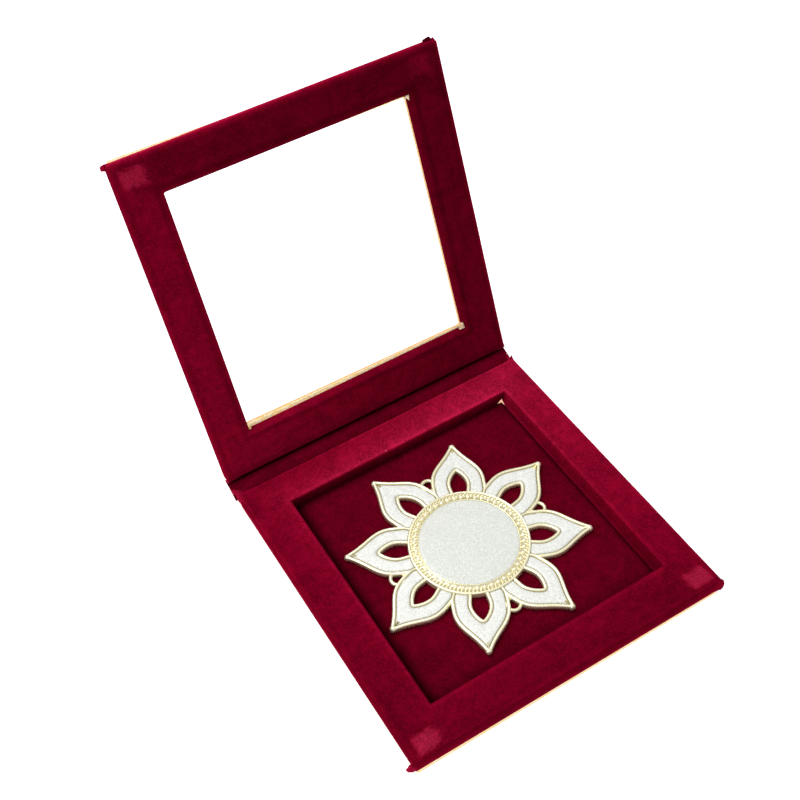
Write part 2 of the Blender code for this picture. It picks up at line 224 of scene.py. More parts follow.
def new_material(name):
    material = bpy.data.materials.new(name)
    material.use_nodes = True
    tree = material.node_tree
    shader = tree.nodes["Principled BSDF"]
    place = add_node(tree, "TexCoord").outputs["Object"]
    return material, tree, shader, place


def rgb(red, green, blue):
    return (red, green, blue, 1.0)


def set_bump(tree, shader, height, distance, strength=1.0, after=None):
    bump = add_node(tree, "Bump", Height=height, Strength=strength, Distance=distance)
    if after is not None:
        tree.links.new(after, bump.inputs["Normal"])
    tree.links.new(bump.outputs["Normal"], shader.inputs["Normal"])
    return bump.outputs["Normal"]


def velvet_material():
    """Burgundy velvet: blotches where the nap lies differently, fine grain, lint, and a red sheen, all
    multiplied by a tone held at each point that carries painted light and shade and the crushed nap.
    """
    material, tree, shader, place = new_material("red_velvet_nap")
    blotch = noise_of(tree, place, 13 * MM, 4.0, 0.62, 0.8)
    streak = noise_of(tree, place, 3.6 * MM, 3.0, 0.6, 0.4)
    grain = noise_of(tree, place, 0.75 * MM, 2.0, 0.75)
    tone = mix_colour(tree, spread(tree, blotch, 0.34, 0.66), VELVET_DARK, VELVET_LIGHT)
    tone = mix_colour(tree, spread(tree, streak, 0.42, 0.68, 0.0, 0.55), tone, VELVET_DEEP)
    tone = mix_colour(tree, spread(tree, grain, 0.45, 0.70, 0.0, 0.75), tone, VELVET_PILE)
    specks = add_node(tree, "TexVoronoi", Vector=place, Scale=1 / (11 * MM)).outputs["Distance"]
    tone = mix_colour(tree, spread(tree, specks, 0.012, 0.026, 0.5, 0.0), tone, VELVET_LINT)
    # Painted light and shade: a per-point tone, which also carries the crushed nap over the magnets,
    # multiplies the colour.
    nap_and_painted_light = add_node(tree, "Attribute", (("attribute_name", "nap_and_painted_light"),)).outputs["Vector"]
    lit = add_node(tree, "VectorMath", (("operation", "MULTIPLY"),))
    tree.links.new(tone, lit.inputs[0])
    tree.links.new(nap_and_painted_light, lit.inputs[1])
    tree.links.new(lit.outputs[0], shader.inputs["Base Color"])
    shader.inputs["Roughness"].default_value = 0.95
    shader.inputs["Specular IOR Level"].default_value = 0.0
    shader.inputs["Sheen Weight"].default_value = 0.16
    shader.inputs["Sheen Roughness"].default_value = 0.40
    shader.inputs["Sheen Tint"].default_value = rgb(0.85, 0.006, 0.07)
    soft = set_bump(tree, shader, streak, 0.30 * MM, 0.5)
    set_bump(tree, shader, grain, 0.20 * MM, 0.8, soft)
    return material


def foil_material(name, dark, light, hollow, metal, glow=0.0):
    """Foil paper, embossed with fine pebbles, and another colour in the hollows; where a point is marked,
    paler and glowing though it is no lamp, a painted highlight, and glowing by glow everywhere.
    """
    material, tree, shader, place = new_material(name)
    pebbles = add_node(tree, "TexVoronoi", (("feature", "SMOOTH_F1"),), Vector=place,
                       Scale=1 / (1.5 * MM)).outputs["Distance"]
    crinkle = noise_of(tree, place, 0.7 * MM, 4.0, 0.6)
    blotch = noise_of(tree, place, 12 * MM, 3.0)
    tone = mix_colour(tree, spread(tree, blotch, 0.3, 0.7), dark, light)
    tone = mix_colour(tree, spread(tree, pebbles, 0.35, 0.66), tone, hollow)
    # Painted highlight: marked points are drawn paler and made to glow.
    painted_glow = add_node(tree, "Attribute", (("attribute_name", "painted_glow"),)).outputs["Fac"]
    pale = mix_colour(tree, spread(tree, pebbles, 0.35, 0.66), FOIL_LIT_PALE, FOIL_LIT_BUFF)
    tone = mix_colour(tree, painted_glow, tone, pale)
    worn = add_node(tree, "Attribute", (("attribute_name", "worn"),)).outputs["Fac"]
    tone = mix_colour(tree, worn, tone, FOIL_WORN)
    tree.links.new(tone, shader.inputs["Base Color"])
    tree.links.new(tone, shader.inputs["Emission Color"])
    glow = maths(tree, "ADD", maths(tree, "MULTIPLY", painted_glow, FOIL_GLOW), glow)
    tree.links.new(glow, shader.inputs["Emission Strength"])
    shader.inputs["Metallic"].default_value = metal
    tree.links.new(spread(tree, crinkle, 0.3, 0.7, 0.34, 0.52), shader.inputs["Roughness"])
    raised = set_bump(tree, shader, maths(tree, "SUBTRACT", 1.0, pebbles), 0.30 * MM, 0.9)
    set_bump(tree, shader, crinkle, 0.12 * MM, 0.5, raised)
    return material


def greyboard_material():
    """Pressed grey board with flecks of darker and lighter fibre."""
    material, tree, shader, place = new_material("grey_board")
    fibre = noise_of(tree, place, 0.6 * MM, 4.0, 0.7)
    cloud = noise_of(tree, place, 9 * MM, 3.0)
    tone = mix_colour(tree, cloud, rgb(0.27, 0.24, 0.21), rgb(0.40, 0.36, 0.31))
    tone = mix_colour(tree, spread(tree, fibre, 0.55, 0.72, 0.0, 0.6), tone, rgb(0.58, 0.54, 0.47))
    tree.links.new(tone, shader.inputs["Base Color"])
    shader.inputs["Roughness"].default_value = 0.9
    set_bump(tree, shader, fibre, 0.08 * MM, 0.6)
    return material


def magnet_material():
    """Nickel-plated magnet with a turned, slightly scuffed face."""
    material, tree, shader, place = new_material("magnet_nickel")
    scuff = noise_of(tree, place, 1.2 * MM, 5.0, 0.7)
    tone = mix_colour(tree, scuff, rgb(0.48, 0.48, 0.50), rgb(0.74, 0.74, 0.75))
    tree.links.new(tone, shader.inputs["Base Color"])
    shader.inputs["Metallic"].default_value = 1.0
    tree.links.new(spread(tree, scuff, 0.3, 0.7, 0.18, 0.42), shader.inputs["Roughness"])
    set_bump(tree, shader, scuff, 0.02 * MM, 0.4)
    return material


def gold_material():
    """Pale gold plating on a cast surface: soft ripples, pits, and painted shade, an olive darkening held per
    point, in the creases, on the walls and loops and under the beads.
    """
    material, tree, shader, place = new_material("pale_gold_plating")
    ripple = noise_of(tree, place, 2.4 * MM, 3.0, 0.5)
    pits = noise_of(tree, place, 0.5 * MM, 3.0, 0.6)
    painted_shade = add_node(tree, "Attribute", (("attribute_name", "painted_shade"),)).outputs["Fac"]
    tone = mix_colour(tree, spread(tree, ripple, 0.3, 0.7), rgb(0.93, 0.86, 0.55), rgb(0.98, 0.94, 0.71))
    # Painted shade: the per-point darkening mixes in an olive colour.
    tone = mix_colour(tree, painted_shade, tone, rgb(0.38, 0.32, 0.11))
    tree.links.new(tone, shader.inputs["Base Color"])
    shader.inputs["Metallic"].default_value = 0.72
    tree.links.new(spread(tree, pits, 0.3, 0.7, 0.20, 0.34), shader.inputs["Roughness"])
    soft = set_bump(tree, shader, ripple, 0.25 * MM, 0.2)
    set_bump(tree, shader, pits, 0.03 * MM, 0.2, soft)
    return material


def glitter_material(name, dark, light):
    """Silver-white glitter: small flakes, each with its own tilt, brightness and faint tint."""
    material, tree, shader, place = new_material(name)
    flakes = add_node(tree, "TexVoronoi", Vector=place, Scale=1 / (0.34 * MM))
    coarse = add_node(tree, "TexVoronoi", Vector=place, Scale=1 / (1.1 * MM))
    grey = add_node(tree, "SeparateColor", Color=flakes.outputs["Color"])
    large = add_node(tree, "SeparateColor", Color=coarse.outputs["Color"])
    tone = mix_colour(tree, grey.outputs["Red"], dark, light)
    tone = mix_colour(tree, spread(tree, grey.outputs["Green"], 0.88, 0.93, 0.0, 0.5), tone,
                      rgb(0.96, 0.97, 0.93))
    tone = mix_colour(tree, spread(tree, large.outputs["Blue"], 0.0, 1.0, 0.0, 0.06), tone,
                      rgb(0.50, 0.52, 0.49))
    tree.links.new(tone, shader.inputs["Base Color"])
    shader.inputs["Metallic"].default_value = 0.15
    tree.links.new(spread(tree, grey.outputs["Blue"], 0.0, 1.0, 0.25, 0.75), shader.inputs["Roughness"])
    set_bump(tree, shader, grey.outputs["Red"], 0.10 * MM, 0.5)
    return material


VELVET_DARK = rgb(0.096, 0.0003, 0.0072)
VELVET_LIGHT = rgb(0.178, 0.0006, 0.0135)
VELVET_DEEP = rgb(0.074, 0.0002, 0.0056)
VELVET_PILE = rgb(0.240, 0.0014, 0.0190)
VELVET_LINT = rgb(0.40, 0.05, 0.10)

# Painted highlight on the foil: how strongly marked foil glows, and its paler lit colours.
FOIL_GLOW = 0.25
FOIL_LIT_PALE = rgb(1.0, 0.90, 0.58)
FOIL_LIT_BUFF = rgb(1.0, 0.78, 0.32)
FOIL_WORN = rgb(0.62, 0.12, 0.0)
PAPER_GLOW = 0.45

velvet = velvet_material()
foil = foil_material("gold_foil_paper", rgb(0.70, 0.50, 0.19), rgb(0.84, 0.65, 0.30),
                     rgb(0.56, 0.34, 0.09), 0.6)
# Paper for the recess corner that glows by PAPER_GLOW, though it is no lamp: painted light in the corner's
# shade.
glowing_pale_paper = foil_material("glowing_pale_paper", rgb(1.0, 0.54, 0.34), rgb(1.0, 0.64, 0.44),
                           rgb(0.95, 0.45, 0.26), 0.0, PAPER_GLOW)
# A darker, olive copy of the foil for the window's right-hand inside corners: painted shade, with peach in
# the hollows.
shaded_foil = foil_material("shaded_foil_paper", rgb(0.34, 0.27, 0.15), rgb(0.66, 0.55, 0.36),
                          rgb(0.78, 0.50, 0.33), 0.3)
greyboard = greyboard_material()
magnet_nickel = magnet_material()
gold = gold_material()
glitter = glitter_material("silver_glitter_flakes", rgb(0.54, 0.56, 0.515), rgb(0.72, 0.74, 0.68))
# The petals' glitter is a paler copy of the medallion's: painted light.
petal_glitter = glitter_material("petal_glitter_flakes", rgb(0.58, 0.59, 0.56), rgb(0.84, 0.85, 0.80))

# ---------------------------------------------------------------- the case's velvet

VELVET_THICKNESS = 0.75 * MM
EDGE_ROUNDING = 1.5 * MM
RECESS_ROUNDING = 1.3 * MM
WINDOW_ROUNDING = 2.6 * MM
WALL_STEPS = 5
ARC_STEPS = 6
FACE_STEPS = 12


def pulled(spot, span, opening, pull, sink=0.0):
    """How far the cloth is drawn at a point: by pull["outside"] at the outer edge, by pull["mouth"] at
    the opening's edge, and by pull["foot"] at the foot of the opening's wall, where sink is 1."""
    x, y = spot
    across, along = (x - span[0]) / (span[1] - span[0]), (y - span[2]) / (span[3] - span[2])
    reach = max((opening[0] - x) / (opening[0] - span[0]), (x - opening[1]) / (span[1] - opening[1]),
                (opening[2] - y) / (opening[2] - span[2]), (y - opening[3]) / (span[3] - opening[3]))
    weights = ((1 - across) * (1 - along), across * (1 - along), (1 - across) * along, across * along)
    out = min(max(reach, 0), 1)
    shares = {"outside": out, "mouth": (1 - out) * (1 - sink), "foot": (1 - out) * sink}
    return [MM * sum(share * weight * corner[axis] for side, share in shares.items()
                     for weight, corner in zip(weights, pull[side])) for axis in (0, 1)]


def velvet_frame(name, body, span, opening, face, back, opening_rounding, nap_and_painted_light, patches, lumps, pull, hem,
                 place=None, seed=0.0):
    """Velvet stretched over a square frame: out round its edges, and down the walls of its opening."""
    up = 1 if face > back else -1
    rings = []
    outer_arc = arc_steps(ARC_STEPS, EDGE_ROUNDING)
    inner_arc = arc_steps(ARC_STEPS, opening_rounding)
    depth = abs(face - back)
    for step in range(WALL_STEPS):
        drop = depth + (EDGE_ROUNDING - depth) * step / WALL_STEPS
        rings.append((grown(span, 0), drop))
    rings += [(grown(span, -inset), drop) for inset, drop in outer_arc]
    first, last = grown(span, -EDGE_ROUNDING), grown(opening, opening_rounding)
    rings += [(mix_span(first, last, step / FACE_STEPS), 0.0) for step in range(1, FACE_STEPS)]
    rings += [(grown(opening, inset), drop) for inset, drop in reversed(inner_arc)]
    for step in range(1, WALL_STEPS + 1):
        rings.append((opening, opening_rounding + (depth - opening_rounding) * step / WALL_STEPS))
    outside = len(rings)
    t = VELVET_THICKNESS
    round_in = max(opening_rounding - t, t)
    inner_span, inner_opening = grown(span, -t), grown(opening, t)
    rings.append((inner_opening, depth))
    rings.append((inner_opening, round_in + t))
    rings.append((grown(inner_opening, 0.3 * round_in), 0.3 * round_in + t))
    rings.append((grown(inner_opening, round_in), t))
    rings.append((grown(inner_span, -t), t))
    rings.append((inner_span, 2 * t))
    rings.append((inner_span, depth))
    spots = []
    for index, (ring_span, drop) in enumerate(rings):
        widths = (ring_span[1] - ring_span[0], ring_span[3] - ring_span[2])
        share = (span[1] - span[0] - widths[0]) / (span[1] - span[0] - opening[1] + opening[0])
        radius = OUTER_CORNER + (OPENING_CORNER - OUTER_CORNER) * min(max(share, 0), 1)
        outline = ring_points(ring_span, radius)
        low_outside = index < WALL_STEPS or index == len(rings) - 1
        for x, y in outline:
            hanging = hem * min(max((span[3] - y) / (3 * MM), 0), 1) if low_outside else 0
            sink = min(max((drop - opening_rounding) / (depth - opening_rounding), 0), 1)
            push = pulled((x, y), span, opening, pull, sink)
            stretch = (drop - EDGE_ROUNDING) / (depth - EDGE_ROUNDING)
            spot = Vector((x + push[0], y + push[1], face - up * (drop + hanging * stretch)))
            if index < outside and WALL_STEPS < index < outside - WALL_STEPS:
                spot.z += up * (waver(spot, 21 * MM, 0.16 * MM, seed) + waver(spot, 6 * MM, 0.05 * MM, seed))
            spots.append(spot)
    faces = loop_faces(len(rings), len(outline))
    for lump in lumps:
        add_lump(spots, faces, *lump)
    piece = make_piece(name, body, velvet, spots, faces, place)
    add_frame_light_and_wear(piece, body, span, opening, nap_and_painted_light, patches, lumps, pull, (face, back), place)
    return piece


def lump(x, y, z, radii, folds, tone):
    """A bunch of cloth: its middle and its three radii (z and the radii in millimetres), folds and tone,
    which is painted light on the bright bunches and painted shade on the dark ones.
    """
    return Vector((x, y, z * MM)), Vector(radii) * MM, folds, tone


def base_lumps():
    """Where the velvet is bunched: at the back left corner and at both free corners."""
    left, right = [BASE_PULL["outside"][corner] for corner in (0, 1)]
    x, y = BASE_HIGH.x, BASE_LOW.y
    return (
        lump(-x, -y - 3.6 * MM, 9.2, (1.3, 2.6, 1.2), 1, 1.6),
        lump(-x + (left[0] - 1.3) * MM, y + (left[1] + 1.5) * MM, 4.1, (2.3, 1.7, 1.2), 2, 1.9),
        lump(x + (right[0] - 0.1) * MM, y + (right[1] + 1.1) * MM, 5.3, (2.2, 2.2, 3.9), 2, 1.15),
    )


def lid_lumps():
    """Where the velvet is bunched: at the free corners, twice at the right one, and at the hinge's right."""
    left, right, _, hinge_right = LID_PULL["outside"]
    x, y = LID_HIGH.x, LID_LOW.y
    return (
        lump(-x + (left[0] - 0.3) * MM, y + (left[1] + 1.1) * MM, 15.2, (1.8, 1.6, 1.3), 2, 1.6),
        lump(x + (right[0] - 3.3) * MM, y + (right[1] + 0.3) * MM, 15.6, (2.6, 2.0, 1.5), 2, 0.3),
        lump(x + (right[0] - 1.2) * MM, y + (right[1] + 0.6) * MM, 14.3, (1.4, 1.5, 2.0), 2, 0.9),
        lump(x + (hinge_right[0] - 0.5) * MM, -y - 3.9 * MM, 13.2, (1.0, 1.0, 1.6), 2, 0.8),
    )


def add_lump(spots, faces, middle, radii, folds, _):
    """A small bunch of folded cloth: a ball drawn out to three radii, with ridges round it."""
    first = len(spots)
    add_ball(spots, faces, Vector((0, 0, 0)), 1.0, 12, 28)
    for index in range(first, len(spots)):
        ball = spots[index]
        angle = math.atan2(ball.z, ball.y)
        ridge = 1 + 0.13 * math.sin(folds * angle + 4 * ball.x) + 0.10 * noise.noise(2.2 * ball)
        spots[index] = middle + Vector(ball[axis] * radii[axis] * ridge for axis in range(3))


OUTER_CORNER = 1.2 * MM
OPENING_CORNER = 0.7 * MM
PATCH_WIDTH = 12.5 * MM
PATCH_DEPTH = 9.4 * MM
BASE_PATCH_SHIFT = (1.1 * MM, -3.3 * MM)
LID_PATCH_SHIFT = (-1.0 * MM, -4.5 * MM)

# How much wider the cloth and its opening are than their frame, in millimetres, at the front left, front
# right, back left and back right corners, and how far the hem comes down over the board's edge.
BASE_PULL = {
    "outside": ((0.4, -0.8), (1.0, -1.8), (0.0, 0.0), (0.2, 0.0)),
    "mouth": ((0.0, 0.0), (3.6, 0.3), (0.0, 0.2), (3.5, 1.4)),
    "foot": ((0.0, 0.0), (1.0, 0.0), (0.0, 0.9), (1.0, 1.3)),
}
LID_PULL = {
    "outside": ((-0.75, -1.6), (1.55, -1.3), (0.2, 0.0), (0.9, 0.0)),
    "mouth": ((0.0, 0.0), (0.1, 0.0), (0.0, 0.3), (0.1, 0.6)),
    "foot": ((0.0, 0.0), (0.1, 0.0), (0.0, 0.3), (0.1, 0.6)),
}
BASE_HEM = 0.85 * MM
LID_HEM = 1.0 * MM

# Painted light and shade along each side of a frame, standing for how brightly its nap catches the light,
# at the start and the end of the side (front and back run left to right; left and right run front to back,
# with the lid taken as closed), then how much brighter it is at the opening's edge than at the outer edge.
BASE_SIDE_LIGHT = {"front": (0.86, 0.78, 0.20), "back": (1.25, 2.1, 0.75), "left": (0.78, 1.15, 0.30),
            "right": (0.90, 1.72, -0.05)}
LID_SIDE_LIGHT = {"front": (0.66, 0.46, 0.05), "back": (1.30, 0.64, -0.05), "left": (0.92, 1.16, 0.0),
           "right": (0.46, 0.72, 0.0)}


def side_light(x, y, span, opening, nap_and_painted_light):
    """The painted light at a point of a frame: its nearest side's, run together across the corners."""
    reaches = {
        "left": (opening[0] - x) / (opening[0] - span[0]),
        "right": (x - opening[1]) / (span[1] - opening[1]),
        "front": (opening[2] - y) / (opening[2] - span[2]),
        "back": (y - opening[3]) / (span[3] - opening[3]),
    }
    across = (x - span[0]) / (span[1] - span[0])
    along = (y - span[2]) / (span[3] - span[2])
    total = weight_sum = 0.0
    for side, reach in reaches.items():
        start, end, rise = nap_and_painted_light[side]
        share = across if side in ("front", "back") else along
        weight = math.exp(4.5 * min(reach, 1.2))
        inward = 1 - min(max(reach, 0), 1)
        total += weight * (start + (end - start) * min(max(share, 0), 1) + rise * (inward - 0.5))
        weight_sum += weight
    return total / weight_sum


def light_and_wear_colour(tone, crushed=0.0):
    """The tone as red, green and blue: above 1, where light is painted on, it is paler as well as brighter, a
    painted sheen; crushed nap is paler too.
    """
    pale = 3 * min(max(tone - 1, 0), 1.2) + 3.5 * crushed
    return (tone, tone * (1 + pale), tone * (1 + 0.35 * max(tone - 1, 0) + 0.3 * crushed))


def store_light_and_wear(piece, colours):
    layer = piece.data.attributes.new("nap_and_painted_light", "FLOAT_VECTOR", "POINT")
    layer.data.foreach_set("vector", [part for colour in colours for part in colour])


# Painted highlights and painted shade near the edges: tone against distance from the opening's wall and from
# the outer wall, in millimetres.
OPENING_LIGHT_AND_SHADE = {
    "base": ((0.0, 0.55), (0.5, 0.9), (1.1, 1.35), (1.8, 1.15), (3.2, 1.0)),
    "lid": ((0.0, 1.05), (1.2, 1.15), (2.4, 0.85), (3.2, 0.5), (4.2, 0.85), (5.5, 1.05), (9.0, 1.0)),
}
EDGE_LIGHT_AND_SHADE = {
    "base": ((0.0, 0.85), (0.5, 1.35), (1.2, 1.2), (2.4, 0.92), (4.0, 1.0)),
    "lid": ((0.0, 0.8), (0.5, 1.0), (1.2, 0.95), (2.2, 0.78), (3.2, 0.85), (4.6, 1.05), (7.0, 1.0)),
}


def from_table(table, distance):
    return float(np.interp(distance / MM, [pair[0] for pair in table], [pair[1] for pair in table]))


# Painted light on the outer walls: tone against distance up from the cloth's lower edge, in millimetres.
WALL_LIGHT = {
    "base": ((0.0, 2.6), (0.8, 2.0), (1.8, 1.35), (3.0, 1.08), (4.5, 1.0)),
    "lid": ((0.0, 3.0), (1.5, 2.4), (3.0, 1.7), (4.5, 1.2), (5.5, 1.0)),
}


# Painted shade down the wall of the opening at its back, and painted shade with a painted lit line down its
# right wall, as tone in shares of the way down.
BACK_WALL_SHADE = ((0.0, 1.0), (0.25, 0.75), (0.6, 0.42), (1.0, 0.16))
RIGHT_WALL_LIGHT_AND_SHADE = ((0.0, 0.95), (0.4, 0.9), (0.7, 1.05), (0.82, 1.6), (0.92, 1.0), (1.0, 0.5))


def add_frame_light_and_wear(piece, body, span, opening, nap_and_painted_light, patches, lumps, pull, levels, place):
    """Painted light and shade on a frame, held as tones per point, with the soft-edged squares that the
    magnets leave crushed.
    """
    back = place.inverted() if place is not None else Matrix.Identity(4)
    face, foot = levels
    colours = []
    for vertex in piece.data.vertices:
        spot = back @ vertex.co
        bunched = [tone for middle, radii, _, tone in lumps
                   if Vector((spot[axis] - middle[axis]) / radii[axis] for axis in range(3)).length < 1.3]
        sink = min(max((face - spot.z) / (face - foot), 0), 1)
        push = pulled((spot.x, spot.y), span, opening, pull, sink)
        flat = Vector((spot.x - push[0], spot.y - push[1], spot.z))
        tone = side_light(flat.x, flat.y, span, opening, nap_and_painted_light)
        beyond = max(opening[0] - flat.x, flat.x - opening[1], opening[2] - flat.y, flat.y - opening[3])
        within = min(flat.x - span[0], span[1] - flat.x, flat.y - span[2], span[3] - flat.y)
        # Painted highlights and painted shade near the opening's edge and near the outer edge.
        tone *= from_table(OPENING_LIGHT_AND_SHADE[body], beyond) * from_table(EDGE_LIGHT_AND_SHADE[body], within)
        # Painted light on the outer walls.
        if within < 0.3 * MM and (body == "base" or flat.y < span[2] + 0.3 * MM):
            tone *= from_table(WALL_LIGHT[body], abs(spot.z - foot))
        # Painted shade down the recess's back wall; painted shade and a painted lit line down its right wall.
        if body == "base" and beyond < 1.0 * MM:
            at_back, at_right = flat.y > opening[3] - 0.7 * MM, flat.x > opening[1] - 0.7 * MM
            table = BACK_WALL_SHADE if at_back else RIGHT_WALL_LIGHT_AND_SHADE if at_right else ((0, 1), (1, 1))
            tone *= from_table(table, sink * MM)
        # Painted highlights along the lid's right edge and its front edge.
        if body == "lid":
            tone *= from_table(((0.0, 2.3), (0.8, 2.1), (2.0, 1.0)), span[1] - flat.x)
            tone *= from_table(((0.0, 1.7), (1.4, 1.6), (2.8, 1.2), (4.2, 1.0)), flat.y - span[2])
        crushed = 0.0
        for x, y, strength in patches:
            ragged = 1.0 * MM * noise.noise(spot / (2 * MM))
            away = max((abs(spot.x - x) + ragged) / PATCH_WIDTH, (abs(spot.y - y) + ragged) / PATCH_DEPTH) * 2
            crushed = max(crushed, strength * (1 - min(max((away - 0.8) / 0.3, 0), 1)))
        # Bunched cloth takes its own tone instead: painted light on the bright folds and painted shade on the
        # dark ones.
        if bunched:
            tone, crushed = bunched[0] * (1 + 0.25 * noise.noise(spot / (0.9 * MM))), 0.0
        colours.append(light_and_wear_colour(tone + crushed, min(crushed, 1)))
    store_light_and_wear(piece, colours)


def inner_opening(node, place=None):
    """The opening of a velvet wrap, found as the clear square round its middle, with the case closed."""
    back = place.inverted() if place is not None else Matrix.Identity(4)
    spots = np.array([back @ vertex.co for vertex in frame["nodes"][node].data.vertices])
    near_middle_x = spots[np.abs(spots[:, 1]) < 70 * MM]
    near_middle_y = spots[np.abs(spots[:, 0]) < 70 * MM]
    x_high = near_middle_x[:, 0][near_middle_x[:, 0] > 0].min()
    x_low = near_middle_x[:, 0][near_middle_x[:, 0] < 0].max()
    y_high = near_middle_y[:, 1][near_middle_y[:, 1] > 0].min()
    y_low = near_middle_y[:, 1][near_middle_y[:, 1] < 0].max()
    return (x_low, x_high, y_low, y_high)


def span_of(low, high):
    return (low.x, high.x, low.y, high.y)


base_span = span_of(BASE_LOW, BASE_HIGH)
base_opening = inner_opening("base_velvet_wrap")
lid_span = span_of(LID_LOW, LID_HIGH)
lid_opening = inner_opening("lid_velvet_wrap", LID_PLACE)


def magnet_spots(strengths, shift, place=None):
    """Where the lining is crushed over the magnets: each place, moved by shift, and how strongly."""
    spots = []
    for name, strength in strengths.items():
        low, high = closed_box(name, place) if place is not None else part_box(name)
        spots.append(((low.x + high.x) / 2 + shift[0], (low.y + high.y) / 2 + shift[1], strength))
    return spots


def add_base_velvet():
    face, back = BASE_HIGH.z, BASE_LOW.z
    spots = magnet_spots({"base_magnet_left": 1.0, "base_magnet_right": 0.95}, BASE_PATCH_SHIFT)
    piece = velvet_frame("base_velvet", "base", base_span, base_opening, face, back, RECESS_ROUNDING,
                         BASE_SIDE_LIGHT, spots, base_lumps(), BASE_PULL, BASE_HEM, seed=1.0)
    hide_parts("base_velvet_wrap")


def add_lid_velvet():
    face, back = LID_LOW.z, LID_HIGH.z
    spots = magnet_spots({"lid_magnet_left": 0.85, "lid_magnet_right": 0.3}, LID_PATCH_SHIFT, LID_PLACE)
    piece = velvet_frame("lid_velvet", "lid", lid_span, lid_opening, face, back, WINDOW_ROUNDING,
                         LID_SIDE_LIGHT, spots, lid_lumps(), LID_PULL, LID_HEM, LID_PLACE, 4.0)
    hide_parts("lid_velvet_wrap")


# Painted shade: the recess floor is darker overall.
FLOOR_SHADE = 0.68
# Painted shade: the spine lining is darker overall.
SPINE_SHADE = 0.8
# Painted shade down in the hinge.
HINGE_SHADE = 0.12
SPINE_CLOTH = (-86.2 * MM, 87.2 * MM)
BASE_CLOTH = (-86.4 * MM, 84.8 * MM)
WEB_WIDTH = (9.0 * MM, 3.0 * MM)


def slab(name, body, material, low, high, rounding, cell, place=None, lift=0.0, seed=0.0, smooth=True):
    """A flat piece with rounded edges, finely divided, its faces gently uneven by lift."""
    low, high = Vector(low), Vector(high)
    size = high - low
    counts = [max(4, round(size[axis] / cell)) if size[axis] > 3 * cell else 4 for axis in range(3)]
    rails = []
    for axis in range(3):
        inside = np.linspace(low[axis] + rounding, high[axis] - rounding, counts[axis] + 1)
        near = [low[axis] + rounding * s for s in (0, 0.3, 0.6)]
        far = [high[axis] - rounding * s for s in (0.6, 0.3, 0)]
        rails.append(near + list(inside) + far)
    spots, faces, index_of = [], [], {}

    def index(key):
        if key not in index_of:
            index_of[key] = len(spots)
            spot = Vector(rails[axis][key[axis]] for axis in range(3))
            core = Vector(min(max(spot[a], low[a] + rounding), high[a] - rounding) for a in range(3))
            out = spot - core
            if out.length > 1e-9:
                spot = core + out.normalized() * rounding
            spots.append(spot)
        return index_of[key]

    for axis in range(3):
        u, v = [a for a in range(3) if a != axis]
        for end in (0, len(rails[axis]) - 1):
            for i in range(len(rails[u]) - 1):
                for j in range(len(rails[v]) - 1):
                    keys = []
                    for a, b in ((i, j), (i + 1, j), (i + 1, j + 1), (i, j + 1)):
                        key = [0, 0, 0]
                        key[axis], key[u], key[v] = end, a, b
                        keys.append(index(tuple(key)))
                    faces.append(tuple(keys))
    if lift:
        thin = min(range(3), key=lambda axis: size[axis])
        middle = (low + high) / 2
        for spot in spots:
            side = 1 if spot[thin] > middle[thin] else -1
            spot[thin] += side * waver(spot, 9 * MM, lift, seed)
    return make_piece(name, body, material, spots, faces, place, smooth)


def add_floor_velvet():
    low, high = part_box("base_floor_pad")
    low -= Vector((0.25, 0.25, 0)) * MM
    high += Vector((1.3, 1.6, 0)) * MM
    piece = slab("base_floor_velvet", "base", velvet, low, high, 0.3 * MM, 1.6 * MM,
                 lift=0.05 * MM, seed=2.0)
    colours = []
    # Painted shade on the floor near the recess walls, deepest at the left wall.
    for vertex in piece.data.vertices:
        right, behind = high.x - vertex.co.x, high.y - vertex.co.y
        tone = from_table(((0.6, 0.15), (1.6, 0.7), (3.0, 1.0)), min(right, behind))
        left, front = vertex.co.x - low.x, vertex.co.y - low.y
        tone *= from_table(((3.0, 0.16), (4.2, 0.28), (5.6, 0.62), (7.5, 0.92), (9.5, 1.0)), left)
        tone *= from_table(((5.0, 0.72), (9.0, 1.0)), front)
        colours.append(light_and_wear_colour(FLOOR_SHADE * tone))
    store_light_and_wear(piece, colours)
    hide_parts("base_floor_pad")


def add_narrow_rails():
    """The board rails on two sides, cut back where the recess is wider than its frame."""
    for name, axis, cut in (("base_rail_right", 0, 3.5 * MM), ("base_rail_back", 1, 1.9 * MM)):
        low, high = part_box(name)
        low[axis] += cut
        piece = slab(name.replace("rail", "strip"), "base", greyboard, low, high, 0.15 * MM, 6 * MM,
                     smooth=False)
        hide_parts(name)


def add_spine_velvet():
    low, high = closed_box("spine_lining", SPINE_PLACE)
    low.x, high.x = SPINE_CLOTH
    piece = slab("spine_velvet", "spine", velvet, low, high, 0.35 * MM, 0.9 * MM, SPINE_PLACE,
                 0.06 * MM, 3.0)
    back = SPINE_PLACE.inverted()
    colours = []
    for vertex in piece.data.vertices:
        reach = (high.z - (back @ vertex.co).z) / MM
        share = (vertex.co.x - low.x) / (high.x - low.x)
        narrow = BASE_CLOTH[0] + (BASE_CLOTH[1] - BASE_CLOTH[0]) * share
        vertex.co.x += (narrow - vertex.co.x) * min(reach * MM / (high.z - low.z), 1) ** 2
        # Painted shade: the lining goes nearly black at its top, where it runs under the lid's edge.
        colours.append(light_and_wear_colour(SPINE_SHADE * float(np.interp(reach, (1.0, 1.9), (0.05, 1.0)))))
    store_light_and_wear(piece, colours)
    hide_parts("spine_lining")


# ---------------------------------------------------------------- the foil-covered boards


